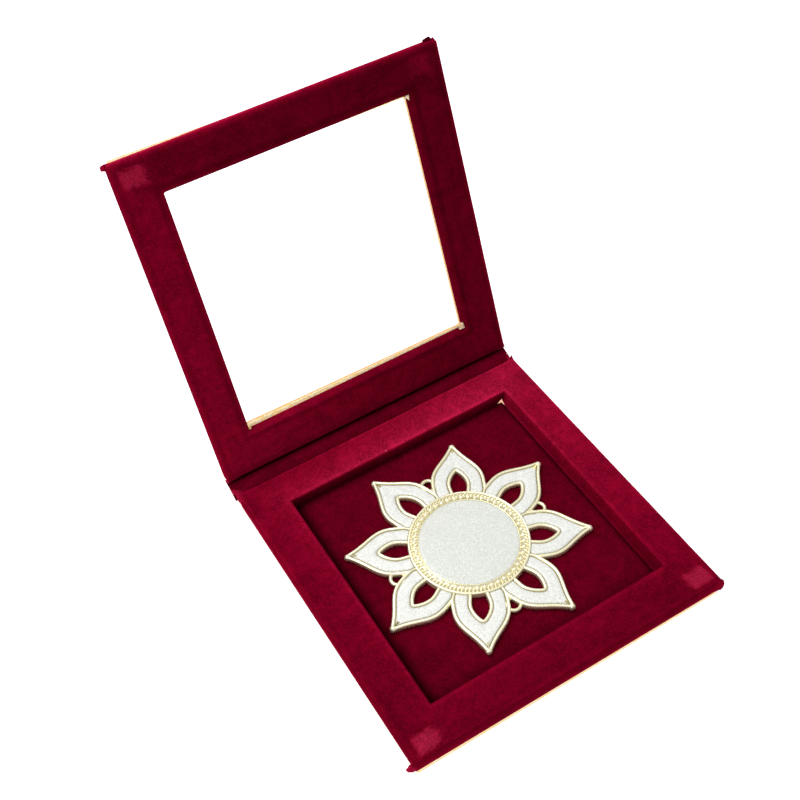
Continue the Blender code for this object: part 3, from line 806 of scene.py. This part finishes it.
def set_wear_and_glow(piece, lining_face, outer_face, place=None):
    """Rubs the foil orange along the edge that meets the velvet, which lies at height lining_face, and marks
    it everywhere but on the board's outer face to be drawn paler and glowing, a painted highlight."""
    back = place.inverted() if place is not None else Matrix.Identity(4)
    layer = piece.data.attributes.new("painted_glow", "FLOAT", "POINT")
    layer.data.foreach_set("value", [min(abs((back @ vertex.co).z - outer_face) / (0.3 * MM), 1)
                                     for vertex in piece.data.vertices])
    heights = [abs((back @ vertex.co).z - lining_face) / MM for vertex in piece.data.vertices]
    layer = piece.data.attributes.new("worn", "FLOAT", "POINT")
    layer.data.foreach_set("value", [float(np.interp(height, (0.2, 0.45), (1.0, 0.0))) for height in heights])


FOIL_ROUNDING = 0.45 * MM


def add_base_board():
    low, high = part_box("base_board")
    piece = slab("base_foil_board", "base", foil, low, high, FOIL_ROUNDING, 2.4 * MM, None, 0.0, 5.0)
    for vertex in piece.data.vertices:
        across, along = (vertex.co.x - low.x) / (high.x - low.x), (high.y - vertex.co.y) / (high.y - low.y)
        vertex.co.y -= along * (0.45 + 0.8 * across) * MM
    set_wear_and_glow(piece, high.z - BASE_HEM, low.z)
    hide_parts("base_board")


def add_spine_board():
    low, high = closed_box("spine_board", SPINE_PLACE)
    piece = slab("spine_foil_board", "spine", foil, low, high, FOIL_ROUNDING, 2.4 * MM, SPINE_PLACE,
                 0.03 * MM, 6.0)
    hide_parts("spine_board")


BOARD_SLANT = 0.014
HINGE_SIDE_LEDGE = 2.2 * MM
BOARD_SHIFT = 0.7 * MM


def add_lid_board():
    """The lid's outer board, glued on slightly askew, so that its foil shows below the window."""
    low, high = closed_box("lid_board", LID_PLACE)
    span = span_of(low, high)
    window = inner_opening("lid_board", LID_PLACE)
    window = (window[0], window[1], window[2], window[3] - HINGE_SIDE_LEDGE)
    thickness = high.z - low.z
    r = FOIL_ROUNDING
    section = []
    for inset, drop in arc_steps(4, r):
        section.append((grown(span, -inset), low.z + drop))
    for inset, drop in reversed(arc_steps(4, r)):
        section.append((grown(window, inset), low.z + drop))
    for inset, drop in arc_steps(4, r):
        section.append((grown(window, inset), high.z - drop))
    for inset, drop in reversed(arc_steps(4, r)):
        section.append((grown(span, -inset), high.z - drop))
    spots = []
    for ring_span, z in section:
        outline = ring_points(ring_span, 1.3 * MM)
        spots += [Vector((x, y, z)) for x, y in outline]
    for spot in spots:
        free = min(max((window[2] - spot.y) / (window[2] - span[2]), 0), 1)
        spot.y += BOARD_SHIFT + BOARD_SLANT * spot.x - free * (0.85 - 0.35 * spot.x / span[1]) * MM
    faces = loop_faces(len(section), len(outline))
    piece = make_piece("lid_foil_board", "lid", foil, spots, faces, LID_PLACE)
    set_wear_and_glow(piece, low.z + LID_HEM / 2, high.z, LID_PLACE)
    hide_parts("lid_board")


GUSSET_STEPS = 10


def add_gusset(name, body, corner, inward, size, bottom, top, material, place=None, hollow=0.62, taper=0.35):
    """Crumpled foil paper showing through where the velvet parts at an inside corner."""
    spots = []
    levels = 8
    for level in range(levels + 1):
        z = bottom + (top - bottom) * level / levels
        spots.append(Vector((corner[0] - inward[0] * 0.4 * MM, corner[1] - inward[1] * 0.4 * MM, z)))
        for step in range(GUSSET_STEPS + 1):
            share = step / GUSSET_STEPS
            sag = 1 - hollow * math.sin(math.pi * share)
            reach = size * sag * (1 - taper * level / levels)
            x = corner[0] + inward[0] * reach * (1 - share) ** 1.2
            y = corner[1] + inward[1] * reach * share ** 1.2
            crumple = waver((x, y, z), 0.8 * MM, 0.25 * MM, 9.0)
            spots.append(Vector((x + inward[0] * crumple, y + inward[1] * crumple, z)))
    count = GUSSET_STEPS + 2
    faces = loop_faces(levels + 1, count, closed=False)
    faces.append(tuple(range(count)))
    faces.append(tuple(range(levels * count, (levels + 1) * count)))
    piece = make_piece(name, body, material, spots, faces, place)


def add_gussets():
    x_low, x_high, y_low, y_high = lid_opening
    back = LID_HIGH.z + 0.2 * MM
    # The window's right-hand corners take the shaded copy of the foil: painted shade.
    for name, corner, inward, size, height, paper in (
            ("near_right", (x_high, y_high), (-1, -1), 3.1, 4.2, shaded_foil),
            ("near_left", (x_low, y_high), (1, -1), 1.8, 2.4, foil),
            ("far_right", (x_high, y_low), (-1, 1), 2.5, 4.4, shaded_foil)):
        add_gusset("window_gusset_" + name, "lid", corner, inward, size * MM, back - height * MM, back,
                   paper, LID_PLACE)
    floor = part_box("base_floor_pad")[1].z
    push = BASE_PULL["foot"][3]
    corner = (base_opening[1] + (push[0] - 0.1) * MM, base_opening[3] + (push[1] - 0.5) * MM)
    # The recess gusset is of the glowing paper: painted light.
    add_gusset("recess_gusset", "base", corner, (-1, -1), 3.0 * MM, floor + 0.9 * MM, floor + 2.9 * MM,
               glowing_pale_paper, hollow=0.78, taper=0.9)


# ---------------------------------------------------------------- cloth and paper over the two hinges


def section_of(path, thickness):
    """The closed outline of a thin strip that follows a path of (y, z) pairs."""
    path = [Vector((0, y, z)) for y, z in path]
    sides = ([], [])
    for index, spot in enumerate(path):
        along = (path[min(index + 1, len(path) - 1)] - path[max(index - 1, 0)]).normalized()
        across = Vector((0, along.z, -along.y)) * thickness / 2
        sides[0].append(spot + across)
        sides[1].append(spot - across)
    return sides[0] + sides[1][::-1]


def strip_sheet(name, material, path, reach, thickness, filled=None, first_reach=None):
    """A strip along the hinge with the given section path (pairs of y and z), of even thickness.
    The path can change to filled, a path of the same length, near the strip's two ends, and the strip
    can be as long as first_reach along the path's first point."""
    first_reach = first_reach or reach
    section = section_of(path, thickness)
    bulging = section_of(filled or path, thickness)
    spots = []
    steps = 120
    for step in range(steps + 1):
        x = reach[0] + (reach[1] - reach[0]) * step / steps
        from_end = min((x - reach[0]) / WEB_WIDTH[0], (reach[1] - x) / WEB_WIDTH[1], 1)
        share = (1 - from_end) ** 2 * (1 + 2 * from_end)
        first_x = first_reach[0] + (first_reach[1] - first_reach[0]) * step / steps
        for index, (open_spot, full_spot) in enumerate(zip(section, bulging)):
            spot = open_spot.lerp(full_spot, share)
            along = min(index, len(section) - 1 - index) / (len(section) / 2 - 1)
            wrinkle = share * waver((x, spot.y, spot.z), 1.6 * MM, 0.35 * MM, 11.0)
            spots.append(Vector((first_x + (x - first_x) * along, spot.y + wrinkle, spot.z + wrinkle)))
    count = len(section)
    faces = loop_faces(steps + 1, count, closed=False)
    half = count // 2
    for base in (0, steps * count):
        for index in range(half - 1):
            faces.append((base + index, base + index + 1, base + count - 2 - index, base + count - 1 - index))
    piece = make_piece(name, None, material, spots, faces)
    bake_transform(piece)
    return piece


def bend(points, steps):
    """A smooth path through given points (Catmull-Rom)."""
    result = []
    count = len(points)
    for index in range(count - 1):
        p0 = points[max(index - 1, 0)]
        p1, p2 = points[index], points[index + 1]
        p3 = points[min(index + 2, count - 1)]
        for step in range(steps):
            t = step / steps
            terms = [(2 * b, c - a, 2 * a - 5 * b + 4 * c - d, 3 * b - a - 3 * c + d)
                     for a, b, c, d in zip(p0, p1, p2, p3)]
            result.append(tuple(0.5 * sum(term * t ** power for power, term in enumerate(parts))
                                for parts in terms))
    return result + [points[-1]]


def on_spine(y, z):
    """A closed-case (y, z) as the leaning spine carries it."""
    return tuple((SPINE_PLACE @ Vector((0, y, z))).yz)


def on_lid(y, z):
    """A closed-case (y, z) as the open lid carries it."""
    return tuple((LID_PLACE @ Vector((0, y, z))).yz)


def shade_hinge_cloth(piece):
    """Painted shade down in the hinge, fading to painted light at the strip's two ends."""
    colours = []
    for vertex in piece.data.vertices:
        reach = min(vertex.co.x - SPINE_CLOTH[0], SPINE_CLOTH[1] - vertex.co.x) / MM
        colours.append(light_and_wear_colour(float(np.interp(reach, (3.0, 8.0), (2.2, HINGE_SHADE)))))
    store_light_and_wear(piece, colours)


def add_hinge_cloth():
    """The velvet that runs on from the base's back wall to the spine, and from the spine to the lid."""
    wall = BASE_HIGH.y + 0.24 * MM
    lining_low, lining_high = closed_box("spine_lining", SPINE_PLACE)
    inside = (lining_low.y + lining_high.y) / 2
    rim = BASE_HIGH.z
    first = bend([(wall, rim - 1.0 * MM), (wall, rim - 4 * MM), (wall, SPINE_AXIS.z + 1.2 * MM),
                  on_spine(inside - 0.15 * MM, lining_low.z + 0.1 * MM),
                  on_spine(inside, lining_low.z + 1.2 * MM),
                  on_spine(inside, lining_low.z + 2.6 * MM)], 6)
    filled = bend([(wall - 2.6 * MM, rim - 1.0 * MM), (wall + 0.2 * MM, rim - 0.2 * MM),
                   (wall + 1.4 * MM, rim - 0.4 * MM),
                   on_spine(lining_low.y - 1.6 * MM, lining_low.z + 3.0 * MM),
                   on_spine(lining_low.y - 0.7 * MM, lining_low.z + 4.8 * MM),
                   on_spine(lining_low.y + 0.1 * MM, lining_low.z + 6.4 * MM)], 6)
    piece = strip_sheet("base_hinge_velvet", velvet, first, SPINE_CLOTH, 0.3 * MM,
                        filled, BASE_CLOTH)
    shade_hinge_cloth(piece)
    lid_wall = LID_HIGH.y + 0.2 * MM
    second = bend([on_spine(inside, lining_high.z - 4.8 * MM),
                   on_spine(inside, lining_high.z - 2.4 * MM),
                   on_spine(inside, lining_high.z - 0.2 * MM),
                   on_lid(lid_wall, LID_HIGH.z - 0.6 * MM),
                   on_lid(lid_wall, LID_HIGH.z - 2.0 * MM),
                   on_lid(lid_wall, LID_LOW.z + 0.9 * MM)], 6)
    piece = strip_sheet("lid_hinge_velvet", velvet, second, SPINE_CLOTH, 0.3 * MM)
    shade_hinge_cloth(piece)


def add_hinge_foil():
    """The creased foil paper that joins the boards outside."""
    low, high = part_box("base_hinge_strip")
    board_low, board_high = closed_box("spine_board", SPINE_PLACE)
    across = (low.x, high.x)
    first = bend([(low.y - 0.9 * MM, 0.2 * MM), (low.y + 0.2 * MM, 0.25 * MM), (low.y + 1.1 * MM, 0.65 * MM),
                  on_spine(board_high.y - 0.6 * MM, board_low.z - 0.1 * MM),
                  on_spine(board_high.y - 0.1 * MM, board_low.z + 0.5 * MM),
                  on_spine(board_high.y + 0.05 * MM, board_low.z + 1.6 * MM)], 6)
    piece = strip_sheet("base_hinge_foil", foil, first, across, 0.25 * MM)
    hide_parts("base_hinge_strip")
    strip_low, strip_high = closed_box("lid_hinge_strip", LID_PLACE)
    outer = closed_box("lid_board", LID_PLACE)[1].z
    second = bend([on_spine(board_high.y + 0.05 * MM, board_high.z - 1.6 * MM),
                   on_spine(board_high.y - 0.1 * MM, board_high.z - 0.4 * MM),
                   on_spine(board_high.y - 0.8 * MM, board_high.z + 0.3 * MM),
                   on_lid(strip_low.y + 1.1 * MM, outer - 0.75 * MM),
                   on_lid(strip_low.y + 0.2 * MM, outer - 0.2 * MM),
                   on_lid(strip_low.y - 0.9 * MM, outer - 0.05 * MM)], 6)
    piece = strip_sheet("lid_hinge_foil", foil, second, across, 0.25 * MM)
    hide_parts("lid_hinge_strip")


# ---------------------------------------------------------------- the plate

PETALS = 8
SECTOR = 2 * math.pi / PETALS
PLATE_LOW, PLATE_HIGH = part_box("plate_casting")
CENTRE_LOW, CENTRE_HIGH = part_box("centre_inlay")
PLATE_CENTRE = (CENTRE_LOW + CENTRE_HIGH) / 2
PLATE_TURN = math.radians(-2.3)
PLATE_FLOOR = PLATE_LOW.z
RIM_TOP = PLATE_FLOOR + 3.0 * MM
POCKET_FLOOR = RIM_TOP - 1.15 * MM
MEDALLION_RADIUS = 30.5 * MM
HIDDEN_RADIUS = 29.3 * MM
MEDALLION_TOP = RIM_TOP + 0.4 * MM


def on_plate(radius, angle, z):
    """A point at the given radius and angle from the plate's middle."""
    return (PLATE_CENTRE.x + radius * math.cos(angle), PLATE_CENTRE.y + radius * math.sin(angle), z)


def bezier(start, start_handle, end_handle, end, steps):
    points = []
    for step in range(steps + 1):
        t = step / steps
        weights = ((1 - t) ** 3, 3 * t * (1 - t) ** 2, 3 * t * t * (1 - t), t ** 3)
        knots = (start, start_handle, end_handle, end)
        points.append(tuple(sum(w * k[i] for w, k in zip(weights, knots)) for i in (0, 1)))
    return points


def petal_side():
    """One side of a petal, from its root to its tip, as (distance along the petal, half width)."""
    tip_radius, turn = 1.25 * MM, math.radians(58)
    tip_centre = 61.9 * MM - tip_radius
    tip = [(tip_centre + tip_radius * math.cos(turn * s), tip_radius * math.sin(turn * s))
           for s in (1, 0.75, 0.5, 0.25, 0)]
    widest = (37.0 * MM, 14.05 * MM)
    root = (27.45 * MM, 12.65 * MM)
    root_handle = (30.5 * MM, 14.05 * MM)
    points = bezier(root, root_handle, root_handle, widest, 12)[:-1]
    points += bezier(widest, (47.8 * MM, 14.05 * MM), (49.6 * MM, 7.0 * MM), tip[0], 40)
    return points + tip[1:]


def window_side():
    """One side of a petal's window, from the medallion to its point."""
    root, widest = (28.9 * MM, 2.9 * MM), (36.0 * MM, 4.1 * MM)
    before, after = (34.5 * MM, 4.1 * MM), (38.4 * MM, 4.1 * MM)
    points = bezier(root, before, before, widest, 16)[:-1]
    return points + bezier(widest, after, (41.9 * MM, 2.5 * MM), (44.1 * MM, 0), 24)


def evenly(points, count):
    """The same line with count + 1 points, evenly spaced along it."""
    spots = np.array(points)
    lengths = np.concatenate([[0], np.cumsum(np.hypot(*np.diff(spots, axis=0).T))])
    goals = np.linspace(0, lengths[-1], count + 1)
    return np.column_stack([np.interp(goals, lengths, spots[:, i]) for i in (0, 1)])


def inward_normals(points, towards):
    """Unit normals of a line of points; towards is -1 for a normal to the petal's axis, 1 away from it."""
    along = np.gradient(points, axis=0)
    along /= np.hypot(along[:, 0], along[:, 1])[:, None]
    normals = np.column_stack([along[:, 1], -along[:, 0]])
    return normals * (1 if towards < 0 else -1)


def from_radius(points, radius):
    """The part of a line of points beyond the given distance from the medallion's centre."""
    distance = np.hypot(points[:, 0], points[:, 1])
    first = int(np.argmax(distance >= radius))
    if first == 0:
        return points
    share = (radius - distance[first - 1]) / (distance[first] - distance[first - 1])
    start = points[first - 1] + share * (points[first] - points[first - 1])
    return np.vstack([start, points[first:]])


RIM_PROFILE = (
    (0.00, 1.10), (0.10, 0.55), (0.28, 0.25), (0.55, 0.07), (0.85, 0.00), (1.15, 0.02), (1.45, 0.12),
    (1.75, 0.32), (1.98, 0.62), (2.12, 0.98), (2.26, 1.15), (2.55, 1.15),
)
WINDOW_PROFILE = (
    (0.00, 1.20), (0.10, 0.62), (0.28, 0.28), (0.55, 0.08), (0.85, 0.00), (1.15, 0.02), (1.45, 0.12),
    (1.72, 0.32), (1.92, 0.62), (2.05, 0.98), (2.18, 1.15), (2.45, 1.15),
)
SIDE_COUNT = 96


def offset_rim(points, normals, distance):
    """Points moved by distance along their normals, stopping at the petal's axis and at the valley."""
    slope = math.tan(SECTOR / 2)
    moved = []
    for point, normal in zip(points, normals):
        reach = distance
        if normal[1] < 0 and point[1] + normal[1] * reach < 0:
            reach = -point[1] / normal[1]
        spot = point + normal * reach
        beyond = spot[1] - slope * spot[0]
        if beyond > 0:
            pull = normal[1] - slope * normal[0]
            spot = spot - normal * (beyond / pull)
        moved.append((spot[0], max(spot[1], 0.0)))
    return np.array(moved)


def petal_lines():
    """Half a petal's side and half its window, each as evenly spaced points and their normals."""
    side, window = evenly(petal_side(), SIDE_COUNT), evenly(window_side(), SIDE_COUNT)
    side_normals, window_normals = inward_normals(side, -1), inward_normals(window, 1)
    side_normals[-1], window_normals[-1] = (-1, 0), (1, 0)
    return side, side_normals, window, window_normals


def rim_rows(line, normals, profile, order):
    """Rows of points beside a line, for each distance in order, and their heights by the profile."""
    distances, drops = [[pair[part] * MM for pair in profile] for part in (0, 1)]
    rows, heights = [], []
    for distance, _ in order:
        row = offset_rim(line, normals, distance * MM)
        rows.append(row)
        heights.append(RIM_TOP - np.interp(np.hypot(*(row - line).T), distances, drops))
    return rows, heights


def layered_faces(start, rows, count, open_steps=()):
    """Faces of a patch with a top and an underside, its two long walls and its wall at step 0.
    Row 0 has no wall at the steps in open_steps."""
    layer = rows * count
    faces = []
    for row in range(rows - 1):
        a = start + row * count
        faces.append((a, a + count, a + count + layer, a + layer))
        for a in range(a, a + count - 1):
            quad = (a, a + 1, a + count + 1, a + count)
            faces += [quad, tuple(layer + corner for corner in reversed(quad))]
    for row in (0, rows - 1):
        for step in range(count - 1):
            a = start + row * count + step
            if row or step not in open_steps:
                faces.append((a, a + layer, a + layer + 1, a + 1))
    return faces


def add_casting():
    """The casting: eight petals with their rims, windows and tips, the medallion's rim and the loops."""
    side, side_normals, window, window_normals = petal_lines()
    inner = WINDOW_PROFILE[::-1]
    side_rows, side_heights = rim_rows(side, side_normals, RIM_PROFILE, RIM_PROFILE)
    window_rows, window_heights = rim_rows(window, window_normals, WINDOW_PROFILE, inner)
    row_shades = [from_table(RIM_SHADE, distance * MM) for distance, _ in RIM_PROFILE + inner]
    rows, heights = np.array(side_rows + window_rows), np.array(side_heights + window_heights)
    radii = np.hypot(rows[..., 0], rows[..., 1])
    low_inside = np.clip((radii - HIDDEN_RADIUS) / (1.2 * MM), 0, 1)
    heights = np.minimum(heights, RIM_TOP - 0.7 * MM + 0.7 * MM * low_inside + 1e-9)
    count_rows, count = heights.shape
    in_valley = rows[0, :, 1] - math.tan(SECTOR / 2) * rows[0, :, 0] > -1e-7
    open_steps = [step for step in range(count - 1) if in_valley[step] and in_valley[step + 1]]
    spots, faces, painted_shade = [], [], []
    for index in range(PETALS):
        angle = PLATE_TURN + SECTOR / 2 + SECTOR * index
        cos, sin = math.cos(angle), math.sin(angle)
        for mirror in (1, -1):
            faces += layered_faces(len(spots), count_rows, count, open_steps)
            painted_shade += [value for value in row_shades for _ in range(count)]
            painted_shade += [WALL_SHADE] * (count_rows * count)
            for level in (heights, np.full(heights.shape, PLATE_FLOOR)):
                for (x, y), z in zip(rows.reshape(-1, 2) * (1, mirror), level.ravel()):
                    spots.append((PLATE_CENTRE.x + x * cos - y * sin, PLATE_CENTRE.y + x * sin + y * cos, z))
        add_ball(spots, faces, Vector(on_plate(TIP_CIRCLE, angle, RIM_TOP - TIP_SINK)), TIP_BALL)
        painted_shade += [0.0] * (len(spots) - len(painted_shade))
    add_medallion(spots, faces, painted_shade)
    add_loops(spots, faces)
    painted_shade += [LOOP_SHADE] * (len(spots) - len(painted_shade))
    piece = make_piece("plate_cast", "plate", gold, spots, faces, painted_shade=painted_shade)
    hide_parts("plate_casting")


# Painted shade on the metal against distance in from a rim's outer edge, in millimetres.
RIM_SHADE = ((0.0, 0.08), (0.3, 0.0), (1.4, 0.0), (1.7, 0.4), (1.9, 1.0))
# Painted shade on the casting's walls and on its loops.
WALL_SHADE = 0.04
LOOP_SHADE = 0.2
TIP_CIRCLE = 60.35 * MM
TIP_BALL = 1.75 * MM
TIP_SINK = 1.45 * MM
BEADS = 48
BEAD_CIRCLE = 27.0 * MM
BEAD_RADIUS = 1.35 * MM
BEAD_SINK = 0.95 * MM
ROPE_MARKS = 96
ROPE_BAND = (28.3, 29.15)
ROPE_LIFT = 0.26
ROPE_MIDDLE, ROPE_HALF = 28.72, 0.45
MARK_STEPS = 8
RING_PROFILE = (
    (24.95, 3.0), (24.95, 0.35), (25.05, 0.10), (25.22, 0.02), (25.38, 0.10), (25.5, 0.45), (28.2, 0.45),
    (28.35, 0.38), (28.5, 0.32), (28.65, 0.28), (28.8, 0.28), (28.95, 0.32), (29.1, 0.38), (29.2, 0.15),
    (29.4, -0.05), (29.7, -0.14), (30.0, -0.12), (30.28, 0.02), (30.45, 0.3), (30.5, 0.7), (30.5, 3.0),
    (30.5, 3.4),
)


def ring_shade(radius, lift):
    """Painted shade on the medallion's rim at a radius in millimetres, where the rope band is lifted by lift,
    darker where it sinks.
    """
    if ROPE_BAND[0] < radius < ROPE_BAND[1]:
        return 0.45 - 0.55 * lift / ROPE_LIFT
    return float(np.interp(radius, (25.3, 25.6, 28.1, 29.1, 29.35), (0.05, 0.35, 0.5, 0.75, 0.0)))


def add_medallion(spots, faces, painted_shade):
    """The medallion's rim: a lathe-turned ring with a rope band, set with round beads."""
    steps = ROPE_MARKS * MARK_STEPS
    start = len(spots)
    profile = [(radius * MM, max(MEDALLION_TOP - drop * MM, PLATE_FLOOR)) for radius, drop in RING_PROFILE]
    for step in range(steps):
        angle = 2 * math.pi * step / steps
        for radius, z in profile:
            lift = 0.0
            if ROPE_BAND[0] < radius / MM < ROPE_BAND[1]:
                slant = (radius / MM - ROPE_MIDDLE) / ROPE_HALF
                phase = step / MARK_STEPS + 0.35 * slant
                lift = (1 - min(1, abs(slant)) ** 3) * ROPE_LIFT * math.sin(2 * math.pi * phase)
            painted_shade.append(min(max(ring_shade(radius / MM, lift), 0), 1))
            spots.append(on_plate(radius, angle, z + lift * MM))
    faces += loop_faces(steps, len(profile), start)
    for bead in range(BEADS):
        angle = PLATE_TURN + 2 * math.pi * bead / BEADS
        centre = Vector(on_plate(BEAD_CIRCLE, angle, MEDALLION_TOP - BEAD_SINK))
        add_ball(spots, faces, centre, BEAD_RADIUS)
        # Painted shade on each bead's lower side.
        for spot in spots[len(painted_shade):]:
            painted_shade.append(min(max(1.0 - (spot.z - centre.z) / (0.6 * BEAD_RADIUS), 0), 0.8))


def add_ball(spots, faces, centre, radius, rings=9, steps=16):
    start = len(spots)
    spots.append(centre + Vector((0, 0, radius)))
    for ring in range(1, rings):
        lean = math.pi * ring / rings
        for step in range(steps):
            angle = 2 * math.pi * step / steps
            spots.append(centre + radius * Vector((math.sin(lean) * math.cos(angle),
                                                   math.sin(lean) * math.sin(angle), math.cos(lean))))
    spots.append(centre - Vector((0, 0, radius)))
    last = len(spots) - 1
    for step in range(steps):
        ahead = (step + 1) % steps
        faces.append((start, start + 1 + step, start + 1 + ahead))
        for ring in range(rings - 2):
            a = start + 1 + ring * steps
            faces.append((a + step, a + steps + step, a + steps + ahead, a + ahead))
        a = start + 1 + (rings - 2) * steps
        faces.append((last, a + ahead, a + step))


LOOPS = 4
LOOP_CIRCLE = 40.5 * MM
LOOP_RADIUS = 3.45 * MM
LOOP_WIRE = 0.95 * MM


def add_loops(spots, faces):
    """Four cast loops of round wire, between every second pair of petals."""
    steps, around = 40, 14
    for loop in range(LOOPS):
        turn = PLATE_TURN + 2 * math.pi * loop / LOOPS
        middle = Vector(on_plate(LOOP_CIRCLE, turn, PLATE_FLOOR + 1.5 * MM))
        start = len(spots)
        for step in range(steps):
            angle = 2 * math.pi * step / steps
            out = Vector((math.cos(angle), math.sin(angle), 0))
            for index in range(around):
                lean = 2 * math.pi * index / around
                spots.append(middle + out * (LOOP_RADIUS + LOOP_WIRE * math.cos(lean))
                             + Vector((0, 0, LOOP_WIRE * math.sin(lean))))
        faces += loop_faces(steps, around, start)


PANEL_STEPS = 70
PANEL_ROWS = 8
PANEL_TOP = RIM_TOP - 0.38 * MM


def add_panels():
    """The glitter in each petal: a horseshoe between the petal's rim and the window's rim."""
    side, side_normals, window, window_normals = petal_lines()
    root = MEDALLION_RADIUS + 0.15 * MM
    outer = evenly(from_radius(offset_rim(side, side_normals, 2.12 * MM), root), PANEL_STEPS)
    inner = evenly(from_radius(offset_rim(window, window_normals, 2.05 * MM), root), PANEL_STEPS)
    for index in range(PETALS):
        angle = PLATE_TURN + SECTOR / 2 + SECTOR * index
        spots, faces = [], []
        for mirror in (1, -1):
            faces += layered_faces(len(spots), PANEL_ROWS + 1, PANEL_STEPS + 1)
            for level in (0, 1):
                for row in range(PANEL_ROWS + 1):
                    for step in range(PANEL_STEPS + 1):
                        share = row / PANEL_ROWS
                        spots.append(panel_spot(outer[step], inner[step], share, mirror, angle, level))
        piece = make_piece("petal_glitter_" + str(index + 1), "plate", petal_glitter, spots, faces)
        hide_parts("petal_inlay_" + str(index + 1))


def panel_spot(outer, inner, share, mirror, angle, level):
    """A point of a glitter panel, between its outer and inner edges, with level 1 for its underside."""
    out_radius, in_radius = math.hypot(*outer), math.hypot(*inner)
    out_turn, in_turn = math.atan2(outer[1], outer[0]), math.atan2(inner[1], inner[0])
    radius = out_radius + (in_radius - out_radius) * share
    turn = angle + mirror * (out_turn + (in_turn - out_turn) * share)
    x, y, under = on_plate(radius, turn, POCKET_FLOOR + 0.02 * MM)
    if level:
        return (x, y, under)
    edge = min(share, 1 - share) * 2
    z = PANEL_TOP - 0.22 * MM * (1 - min(1, edge * 3)) ** 2
    return (x, y, z + waver((x, y, 0), 1.6 * MM, 0.05 * MM, 7.0))


def add_centre():
    """The medallion's round glitter panel."""
    radius = 25.0 * MM
    rings, steps = 40, 120
    top = MEDALLION_TOP - 0.22 * MM
    spots = [(PLATE_CENTRE.x, PLATE_CENTRE.y, top)]
    for ring in range(1, rings + 1):
        reach = radius * ring / rings
        for step in range(steps):
            angle = 2 * math.pi * step / steps
            x, y, _ = on_plate(reach, angle, top)
            z = top - 0.12 * MM * max(0, (ring - rings + 2) / 2) + waver((x, y, 0), 1.6 * MM, 0.05 * MM, 8.0)
            spots.append((x, y, z))
    under = len(spots)
    for step in range(steps):
        x, y, _ = spots[1 + (rings - 1) * steps + step]
        spots.append((x, y, CENTRE_LOW.z))
    spots.append((PLATE_CENTRE.x, PLATE_CENTRE.y, CENTRE_LOW.z))
    faces = []
    for step in range(steps):
        ahead = (step + 1) % steps
        faces.append((0, 1 + step, 1 + ahead))
        for ring in range(rings - 1):
            a = 1 + ring * steps
            faces.append((a + step, a + steps + step, a + steps + ahead, a + ahead))
        a = 1 + (rings - 1) * steps
        faces.append((a + step, under + step, under + ahead, a + ahead))
        faces.append((under + steps, under + ahead, under + step))
    piece = make_piece("centre_glitter", "plate", glitter, spots, faces)
    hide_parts("centre_inlay")


# ---------------------------------------------------------------- the parts that stay as modelled


def dress_frame():
    for name, node in frame["nodes"].items():
        for kind, material in (("_rail_", greyboard), ("_magnet_", magnet_nickel)):
            for slot in node.material_slots if kind in name else ():
                slot.material = material


# ---------------------------------------------------------------- floor, light and camera


def add_floor():
    size, steps = 6.0, 8
    spots = [(size * (i / steps - 0.5), size * (j / steps - 0.5), -0.05 * MM)
             for j in range(steps + 1) for i in range(steps + 1)]
    corners = [j * (steps + 1) + i for j in range(steps) for i in range(steps)]
    faces = [(corner, corner + 1, corner + steps + 2, corner + steps + 1) for corner in corners]
    material, tree, shader, place = new_material("studio_floor")
    tone = mix_colour(tree, noise_of(tree, place, 0.5), rgb(0.93, 0.93, 0.93), rgb(0.95, 0.95, 0.95))
    tree.links.new(tone, shader.inputs["Base Color"])
    shader.inputs["Roughness"].default_value = 0.9
    shader.inputs["Specular IOR Level"].default_value = 0.1
    shader.inputs["Emission Color"].default_value = rgb(1, 1, 1)
    shader.inputs["Emission Strength"].default_value = 0.5
    floor = make_piece("studio_floor", None, material, spots, faces, smooth=False)


def add_light(name, place, target, size, power):
    data = bpy.data.lights.new(name, "AREA")
    data.shape = "DISK"
    data.size = size
    data.energy = power
    lamp = bpy.data.objects.new(name, data)
    bpy.context.scene.collection.objects.link(lamp)
    lamp.location = place
    lamp.rotation_euler = (Vector(target) - Vector(place)).to_track_quat("-Z", "Y").to_euler()


def add_world():
    world = bpy.data.worlds.new("studio")
    bpy.context.scene.world = world
    world.use_nodes = True
    background = world.node_tree.nodes["Background"]
    background.inputs["Color"].default_value = (1, 1, 1, 1)
    background.inputs["Strength"].default_value = 0.72


CAMERA_PLACE = Vector((-0.18373, -0.27638, 0.50151))
CAMERA_FORWARD = Vector((0.31053, 0.57143, -0.75963))
CAMERA_ROLL = math.radians(3.866)
CAMERA_LENS = 53.806


def add_camera():
    forward, roll = CAMERA_FORWARD.normalized(), CAMERA_ROLL
    level_right = forward.cross(Vector((0, 0, 1))).normalized()
    level_down = forward.cross(level_right)
    right = math.cos(roll) * level_right + math.sin(roll) * level_down
    down = math.cos(roll) * level_down - math.sin(roll) * level_right
    data = bpy.data.cameras.new("photo_camera")
    data.sensor_width = 36
    data.lens = CAMERA_LENS
    camera = bpy.data.objects.new("photo_camera", data)
    bpy.context.scene.collection.objects.link(camera)
    turn = Matrix((right, -down, -forward)).transposed().to_4x4()
    camera.matrix_world = Matrix.Translation(CAMERA_PLACE) @ turn
    bpy.context.scene.camera = camera


add_base_velvet()
add_floor_velvet()
add_narrow_rails()
add_lid_velvet()
add_spine_velvet()
add_base_board()
add_spine_board()
add_lid_board()
add_gussets()
add_hinge_cloth()
add_hinge_foil()
add_casting()
add_panels()
add_centre()
dress_frame()
add_floor()
add_world()
add_light("overhead_softbox", (-0.15, 0.50, 1.2), (0, 0, 0), 0.9, 9)
add_light("left_fill", (-1.1, 0.1, 0.8), (0, 0, 0.05), 0.8, 4)
add_camera()
bpy.context.scene.view_settings.view_transform = "Standard"
